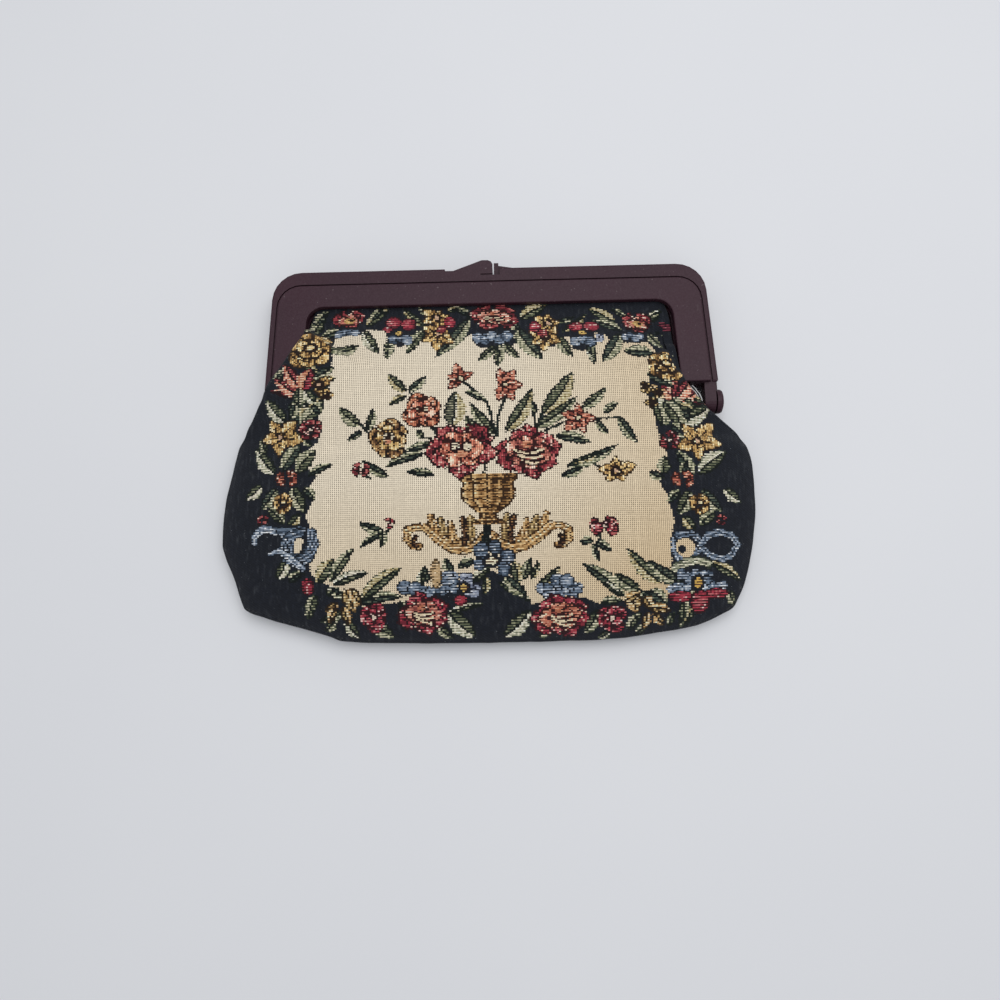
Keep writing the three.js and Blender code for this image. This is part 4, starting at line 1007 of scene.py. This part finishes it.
class Panel:
    # one side of the pouch: its edge, and the level of its outer face over any point of the plan
    def __init__(self, front, steps=8):
        self.front = front
        raw = panelEdge(front)
        self.loop = smoothLoop(np.hstack([raw, calmed(raw)]), steps)
        self.middle = np.array([0, -pouch["middle"] * pouch["drop"]])
        spokes = self.loop[:, :2] - self.middle
        self.turns = np.maximum.accumulate(-np.unwrap(np.arctan2(spokes[:, 1], spokes[:, 0])))

    def edgeAt(self, x, y):
        # the edge's row in the direction of a point, and how far out the point is, as a share
        dx, dy = x - self.middle[0], y - self.middle[1]
        turn = self.turns[0] + np.mod(-np.arctan2(dy, dx) - self.turns[0], 2 * math.pi)
        turns = np.append(self.turns, self.turns[0] + 2 * math.pi)
        loop = np.vstack([self.loop, self.loop[:1]])
        i = np.clip(np.searchsorted(turns, turn, side="right") - 1, 0, len(self.loop) - 1)
        a, b = loop[i], loop[i + 1]
        along = b - a
        cross = dx * along[..., 1] - dy * along[..., 0]
        cross = np.where(np.abs(cross) < 1e-9, 1e-9, cross)
        t = ((a[..., 0] - self.middle[0]) * dy - (a[..., 1] - self.middle[1]) * dx) / cross
        hit = a + along * np.clip(t, 0, 1)[..., None]
        reach = np.hypot(hit[..., 0] - self.middle[0], hit[..., 1] - self.middle[1])
        return hit, np.hypot(dx, dy) / reach

    def level(self, x, y):
        hit, share = self.edgeAt(x, y)
        near = np.clip((share - 0.6) / 0.3, 0, 1)
        near = near * near * (3 - 2 * near)
        lip, roll, hold = (hit[..., k + 3] * (1 - near) + hit[..., k] * near for k in (2, 3, 4))
        out = np.minimum(1, share / hold)
        if self.front:
            lip = lip + pouch["wall"]
            return lip + (pouch["crown"] - lip) * (1 - out**2.4) ** roll
        lip = lip - pouch["wall"]
        return lip * (1 - np.minimum(1, 2.2 * (1 - out**3) ** roll))


def outward(loop):
    # unit normals of a closed clockwise loop, pointing out
    ahead = np.roll(loop, -1, axis=0) - np.roll(loop, 1, axis=0)
    normal = np.stack([-ahead[:, 1], ahead[:, 0]], axis=1)
    return normal / (np.linalg.norm(normal, axis=1)[:, None] + 1e-9)


def inside(points, x, y):
    hit = np.zeros(x.shape, bool)
    for (x0, y0), (x1, y1) in zip(points, np.roll(points, -1, axis=0)):
        if y0 == y1:
            continue
        hit ^= ((y0 > y) != (y1 > y)) & (x < x0 + (y - y0) * (x1 - x0) / (y1 - y0))
    return hit


def nearestOn(loop, x, y):
    # nearest point of a closed line to each point
    best = np.full(x.shape, np.inf)
    place = np.stack([x, y], axis=-1).astype(float)
    for a, b in zip(loop, np.roll(loop, -1, axis=0)):
        d = b - a
        t = np.clip(((x - a[0]) * d[0] + (y - a[1]) * d[1]) / (d @ d + 1e-12), 0, 1)
        px, py = a[0] + t * d[0], a[1] + t * d[1]
        gap = np.hypot(x - px, y - py)
        closer = gap < best
        best = np.where(closer, gap, best)
        place[closer] = np.stack([px, py], axis=-1)[closer]
    return place, best


def addMesh(name, points, faces, finish):
    mesh = bpy.data.meshes.new(name)
    mesh.from_pydata([tuple(p) for p in points], [], faces)
    mesh.update()
    piece = bpy.data.objects.new(name, mesh)
    scene.collection.objects.link(piece)
    mesh.materials.append(finish)
    mesh.polygons.foreach_set("use_smooth", [True] * len(mesh.polygons))
    return piece


tapestryPanel = {
    "edgeRoll": 0.8,  # mm, radius of the turned edge
    "turnUnder": 2.5,  # mm, edge turned in below
    "rollSteps": 6,
    "wobble": 0.22,  # mm, unevenness of the edge
    "sag": 0.35,  # mm, soft rise and fall of the field
    "workedRise": 0.10,  # mm, worked stitches above the ground
}


def softLevel(x, y):
    # slow rise and fall, darts in the left corner and pulls beside the arms, mm
    rise = np.array([
        noise(Vector((px * 0.022, py * 0.03, 3.1))) + 0.5 * noise(Vector((px * 0.06, py * 0.07, 8.4)))
        for px, py in zip(x.ravel(), y.ravel())
    ]).reshape(x.shape) * tapestryPanel["sag"]
    for x0, y0, x1, y1, depth, width in creases:
        dx, dy = x1 - x0, y1 - y0
        run = math.hypot(dx, dy)
        along = ((x - x0) * dx + (y - y0) * dy) / run**2
        aside = (-(x - x0) * dy + (y - y0) * dx) / run
        fade = np.clip(np.minimum(along + 0.15, 1.15 - along) / 0.3, 0, 1)
        rise = rise - depth * fade * np.exp(-((aside / width) ** 2))
    return rise - sunk(x, y)


recessFold = {
    # mm, in the clutch's own axes
    "line": [(61.5, 44.0), (64.0, 39.6), (66.8, 35.6), (69.2, 31.6), (71.6, 26.8), (74.4, 23.6)],
    "depth": 2.4,  # mm
    "soft": 0.8,
}


def sunk(x, y):
    # the cloth steps down beyond its fold, towards the right arm
    look = recessFold
    line = np.array(look["line"])
    side = np.interp(y, line[::-1, 1], line[::-1, 0])
    beyond = (x - side) / look["soft"]
    share = 1 / (1 + np.exp(-np.clip(beyond, -20, 20)))
    fade = np.clip((y - line[-1, 1] + 1) / 3, 0, 1) * np.clip((line[0, 1] + 2.5 - y) / 4, 0, 1)
    return look["depth"] * share * fade


creases = [  # from, to, depth and half width of each pull in the cloth, mm, clutch axes
    (-94, -57, -80, -47, 0.45, 0.9),
    (-97, -46, -84, -58, 0.30, 0.9),
    (-86, 17, -70, 2, 0.35, 3.0),
    (-90, 12, -78, -8, 0.25, 2.5),
    (82, 8, 70, -4, 0.30, 3.0),
    (92, -40, 78, -48, 0.35, 2.2),
    (90, -57, 76, -52, 0.40, 1.6),
]


def buildTapestry(chart, finish):
    look = tapestryPanel
    panel = Panel(True)
    step = (stitch["across"], stitch["up"])
    edge = panel.loop[:, :2]
    normals = outward(edge)
    wobble = np.array([noise(Vector((x * 0.16, y * 0.16, 1.7))) for x, y in edge])
    free = panel.loop[:, 4] > 0.995  # the tucked edge stays as it is
    rim = edge + normals * (wobble * look["wobble"] * free - look["edgeRoll"])[:, None]
    across = stitch["left"] + np.arange(stitch["columns"] + 1) * step[0] - hingeAt[0]
    up = stitch["foot"] + np.arange(stitch["rows"] + 1) * step[1] - hingeAt[1]
    x, y = np.meshgrid(across, up)
    within = inside(rim, x, y)
    near = np.zeros(x.shape, bool)  # only points beside the rim need measuring
    for k in (0, 1):
        turned = within != np.roll(within, 1, axis=k)
        near |= turned | np.roll(turned, -1, axis=k)
    near |= np.roll(near, 1, 0) | np.roll(near, -1, 0) | np.roll(near, 1, 1) | np.roll(near, -1, 1)
    place, gap = nearestOn(rim, x[near], y[near])
    # a point nearer the rim than half a stitch goes onto it, so the edge is clean
    snapped = gap < 0.5 * max(step) + 0.01
    onRim = np.zeros(x.shape, bool)
    spots = np.flatnonzero(near)
    onRim.flat[spots[snapped]] = True
    x.flat[spots[snapped]] = place[snapped, 0]
    y.flat[spots[snapped]] = place[snapped, 1]
    kept = within | onRim
    level = panel.level(x, y)
    number = np.full(x.shape, -1)
    faces = []
    used = kept[:-1, :-1].astype(int) + kept[1:, :-1] + kept[:-1, 1:] + kept[1:, 1:]
    fullRim = onRim[:-1, :-1] & onRim[1:, :-1] & onRim[:-1, 1:] & onRim[1:, 1:]
    for j, i in zip(*np.nonzero((used >= 3) & ~fullRim)):
        corners = [(j, i), (j, i + 1), (j + 1, i + 1), (j + 1, i)]
        faces.append([corner for corner in corners if kept[corner]])
    wanted = sorted({corner for face in faces for corner in face})
    for count, corner in enumerate(wanted):
        number[corner] = count
    rows, columns = np.array(wanted).T
    px, py, pz = x[rows, columns], y[rows, columns], level[rows, columns]
    # worked stitches stand a little above the ground
    worked = np.zeros((stitch["rows"] + 1, stitch["columns"] + 1))
    raised = (chart.kind > 1.5).astype(float)
    for dj in (0, 1):
        for di in (0, 1):
            worked[dj:dj + raised.shape[0], di:di + raised.shape[1]] += raised / 4
    pz = pz + softLevel(px + hingeAt[0], py + hingeAt[1]) * np.clip((pz - 8.5) / 4, 0, 1)
    pz = pz + worked[rows, columns] * look["workedRise"]
    points = np.stack([px + hingeAt[0], py + hingeAt[1], pz], axis=1) * mm
    piece = addMesh("tapestry_front", points, [[number[c] for c in face] for face in faces], finish)
    turnEdge(piece, panel, rim, normals)
    paintStitches(piece, chart)
    return piece


def turnEdge(piece, panel, rim, normals):
    # the open edge of the stitched face rolls over, down and back under; flatPlace keeps where
    # each point lies on the uncut cloth, in mm
    look = tapestryPanel
    made = bmesh.new()
    made.from_mesh(piece.data)
    bmesh.ops.remove_doubles(made, verts=made.verts, dist=0.00002)
    made.normal_update()
    if sum(face.normal.z for face in made.faces) < 0:
        bmesh.ops.reverse_faces(made, faces=made.faces)
    flatPlace = made.verts.layers.float_vector.new("flatPlace")
    for vert in made.verts:
        vert[flatPlace] = vert.co / mm
    openEdges = [edge for edge in made.edges if edge.is_boundary]
    ring = {vert.index: vert for edge in openEdges for vert in edge.verts}
    order = sorted(ring)
    spots = np.array([tuple(ring[i].co) for i in order]) / mm
    flat = spots[:, :2] - hingeAt
    gaps = np.hypot(flat[:, None, 0] - rim[None, :, 0], flat[:, None, 1] - rim[None, :, 1])
    closest = gaps.argmin(axis=1)
    out = normals[closest]
    radius = (spots[:, 2] - panel.loop[closest, 2]) / 2
    turns = [math.pi * k / look["rollSteps"] for k in range(1, look["rollSteps"] + 1)]
    path = [(look["edgeRoll"] * math.sin(t), 1 - math.cos(t), look["edgeRoll"] * t) for t in turns]
    path.append((-look["turnUnder"], 2, look["edgeRoll"] * math.pi + look["turnUnder"]))
    rows = [[ring[i] for i in order]]
    for away, drop, run in path:
        row = []
        for (x, y, z), (nx, ny), r in zip(spots, out, radius):
            vert = made.verts.new(((x + nx * away) * mm, (y + ny * away) * mm, (z - drop * r) * mm))
            vert[flatPlace] = (x + nx * run, y + ny * run, z)
            row.append(vert)
        rows.append(row)
    index = {i: n for n, i in enumerate(order)}
    for edge in openEdges:
        loop = edge.link_loops[0]
        a, b = index[loop.vert.index], index[loop.link_loop_next.vert.index]
        for upper, lower in zip(rows, rows[1:]):
            made.faces.new([upper[b], upper[a], lower[a], lower[b]]).smooth = True
    made.to_mesh(piece.data)
    made.free()


def paintStitches(piece, chart):
    mesh = piece.data
    corners = np.empty(len(mesh.loops), int)
    mesh.loops.foreach_get("vertex_index", corners)
    flat = np.empty(len(mesh.vertices) * 3)
    mesh.attributes["flatPlace"].data.foreach_get("vector", flat)
    flat = flat.reshape(-1, 3)[corners, :2]
    sides = np.array([face.loop_total for face in mesh.polygons])
    faceOf = np.repeat(np.arange(len(sides)), sides)
    middles = np.add.reduceat(flat, np.cumsum(sides) - sides) / sides[:, None]
    column = ((middles[:, 0] - stitch["left"]) / stitch["across"]).astype(int)
    row = ((middles[:, 1] - stitch["foot"]) / stitch["up"]).astype(int)
    column = np.clip(column, 0, stitch["columns"] - 1)
    row = np.clip(row, 0, stitch["rows"] - 1)
    dyes = np.ones((len(corners), 4))
    dyes[:, :3] = np.clip((chart.tone[row, column] / 255) ** 2.2 / lightShare, 0, 1)[faceOf]
    dyed = mesh.attributes.new("stitchTone", "FLOAT_COLOR", "CORNER")
    dyed.data.foreach_set("color", dyes.ravel())
    kind = mesh.attributes.new("stitchKind", "FLOAT", "CORNER")
    kind.data.foreach_set("value", (chart.kind[row, column] / 2)[faceOf])
    spread = mesh.uv_layers.new(name="OFBake")
    size = clothSize()
    start = (stitch["left"] - stitch["spare"], stitch["foot"] - stitch["spare"])
    spread.data.foreach_set("uv", ((flat - start) / size).ravel())
    mesh.attributes.remove(mesh.attributes["flatPlace"])


def clothSize():
    # the uncut cloth that the flat map covers, mm
    wide = stitch["across"] * stitch["columns"] + 2 * stitch["spare"]
    tall = stitch["up"] * stitch["rows"] + 2 * stitch["spare"]
    return wide, tall


backPanel = {
    "rings": 26,
    "edgeRoll": 0.8,
    "rollSteps": 5,
    "turnUnder": 3.0,
}


def buildBack(finish):
    # rings from the middle out to the edge; the face looks down
    look = backPanel
    panel = Panel(False, 6)
    edge = panel.loop[:, :2]
    out = outward(edge)
    rim = edge - out * look["edgeRoll"]
    spokes = rim - panel.middle
    shares = np.sin(np.linspace(0, math.pi / 2, look["rings"] + 1))[1:]
    points = [np.array([[*panel.middle, 0.0]])]
    for share in shares:
        flat = panel.middle + spokes * share
        level = np.maximum(panel.level(flat[:, 0], flat[:, 1]), 0)
        points.append(np.column_stack([flat, level]))
    top = panel.loop[:, 2]
    start = points[-1][:, 2]
    radius = (top - start) / 2
    for k in range(1, look["rollSteps"] + 1):
        turn = math.pi * k / look["rollSteps"]
        flat = rim + out * look["edgeRoll"] * math.sin(turn)
        points.append(np.column_stack([flat, start + radius * (1 - math.cos(turn))]))
    points.append(np.column_stack([rim - out * look["turnUnder"], top]))
    count = len(edge)
    faces = [(0, 1 + i, 1 + (i + 1) % count) for i in range(count)]
    for ring in range(len(points) - 2):
        here = 1 + ring * count
        for i in range(count):
            j = (i + 1) % count
            faces.append((here + i, here + count + i, here + count + j, here + j))
    places = np.vstack(points)
    places[:, :2] += hingeAt
    return addMesh("plain_back", places * mm, faces, finish)


print("tapestry chart")
chart = drawChart()
print("tapestry panel")
tapestryCloth = makeTapestryCloth()
tapestryFront = buildTapestry(chart, tapestryCloth)
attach(tapestryFront, "root")
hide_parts("pouch_front")

print("back panel")
plainCloth = makePlainCloth()
plainBack = buildBack(plainCloth)
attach(plainBack, "root")
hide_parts("pouch_back")


print("lining edges")
liningEdge = {
    "thick": 0.55,  # mm, each of the two folds
    "between": 1.05,  # mm, from fold to fold
    "low": 1.95,
    "rise": 0.6,  # mm, above the plain strip
    "waves": 0.22,
}


def buildLiningEdge(name, node, hand, finish):
    # two thin folds that stand along the plain strip's own line, with a wavy top edge
    look = liningEdge
    low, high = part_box(node)
    inner = (low.x if hand > 0 else high.x) / mm
    outer = (high.x if hand > 0 else low.x) / mm
    top, foot = high.y / mm, low.y / mm
    crest = high.z / mm + look["rise"]
    columns, rows = 26, 8
    width = columns + 1
    points, faces = [], []
    for fold in (0, 1):
        line = []
        for k in range(width):
            t = k / columns
            bend = (1 - math.cos(t * math.pi)) / 2
            reach = 0.12 + 0.76 * math.sin(min(t * 1.35, 1) * math.pi / 2) - 0.14 * bend**4
            x = inner + (outer - inner) * reach
            line.append((x - hand * fold * look["between"] * (1 - 0.6 * t), top + (foot - top) * t))
        first = len(points)
        for side in (-0.5, 0.5):
            for j in range(rows + 1):
                share = j / rows
                for k, (x, y) in enumerate(line):
                    wave = look["waves"] * noise(Vector((k * 0.35, share * 2 + fold, 4.2)))
                    away = side * look["thick"] * (1 - 0.35 * share) + wave
                    z = look["low"] + (crest - look["low"] - 0.5 * fold) * share
                    z -= 0.25 * share * (1 + noise(Vector((k * 0.3, 1.1 + fold, 0.4))))
                    points.append((x + away * hand, y, z))
        layer = width * (rows + 1)
        grid = [first + j * width + k for j in range(rows) for k in range(columns)]
        for a in grid:
            quad = (a, a + 1, a + width + 1, a + width)
            faces += [quad[::-1], tuple(layer + v for v in quad)]
        for k in range(columns):  # top and bottom
            for j in (0, rows):
                a = first + j * width + k
                quad = (a, a + 1, layer + a + 1, layer + a)
                faces.append(quad if j else quad[::-1])
        for j in range(rows):  # ends
            for k in (0, columns):
                a = first + j * width + k
                quad = (a, a + width, layer + a + width, layer + a)
                faces.append(quad[::-1] if k else quad)
    piece = addMesh(name, [tuple(v * mm for v in p) for p in points], faces, finish)
    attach(piece, "root")
    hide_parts(node)
    return piece


liningCloth = makeLiningCloth()
buildLiningEdge("lining_edge_left", "gusset_left", -1, liningCloth)
buildLiningEdge("lining_edge_right", "gusset_right", 1, liningCloth)


print("frame")
maroonPlastic = makeFramePlastic()
pinSteel = makePinSteel()
for name, finish in (
    ("frame_front", maroonPlastic), ("frame_back", maroonPlastic),
    ("hinge_pin_left", pinSteel), ("hinge_pin_right", pinSteel),
):
    nodes[name].data.materials.clear()
    nodes[name].data.materials.append(finish)


print("floor and light")
studio = {
    "floorTones": ((0.72, 0.73, 0.76, 1), (0.77, 0.78, 0.80, 1)),
    "sky": (0.95, 0.965, 1.0, 1),
    "skyShare": 0.48,
    "window": 5.5,  # watts
    "windowPlace": (0.13, 0.20, 0.90),
    "windowSize": 0.9,
}
floorFinish, floorShader, floorWire = newFinish("palePaper", **{"Specular IOR Level": 0.2})
floorPlace = floorWire.add("TexCoord", None, None, 3)
floorCloud = floorPlace.noise(5, 3)
floorTone = floorCloud.blend(*studio["floorTones"])
join(floorFinish.node_tree, floorTone, floorShader, "Base Color")
join(floorFinish.node_tree, 0.5 + floorCloud * 0.2, floorShader, "Roughness")
floor = addMesh("floor", [(-2, -2, 0), (2, -2, 0), (2, 2, 0), (-2, 2, 0)], [(0, 1, 2, 3)], floorFinish)

world = bpy.data.worlds.new("softRoom")
scene.world = world
world.use_nodes = True
sky = world.node_tree.nodes["Background"]
sky.inputs["Color"].default_value = studio["sky"]
sky.inputs["Strength"].default_value = studio["skyShare"]
window = bpy.data.objects.new("window", bpy.data.lights.new("window", "AREA"))
window.data.shape = "SQUARE"
window.data.size = studio["windowSize"]
window.data.energy = studio["window"]
window.location = studio["windowPlace"]
window.rotation_euler = Vector(studio["windowPlace"]).to_track_quat("Z", "Y").to_euler()
scene.collection.objects.link(window)

bpy.context.view_layer.update()
print("finished")
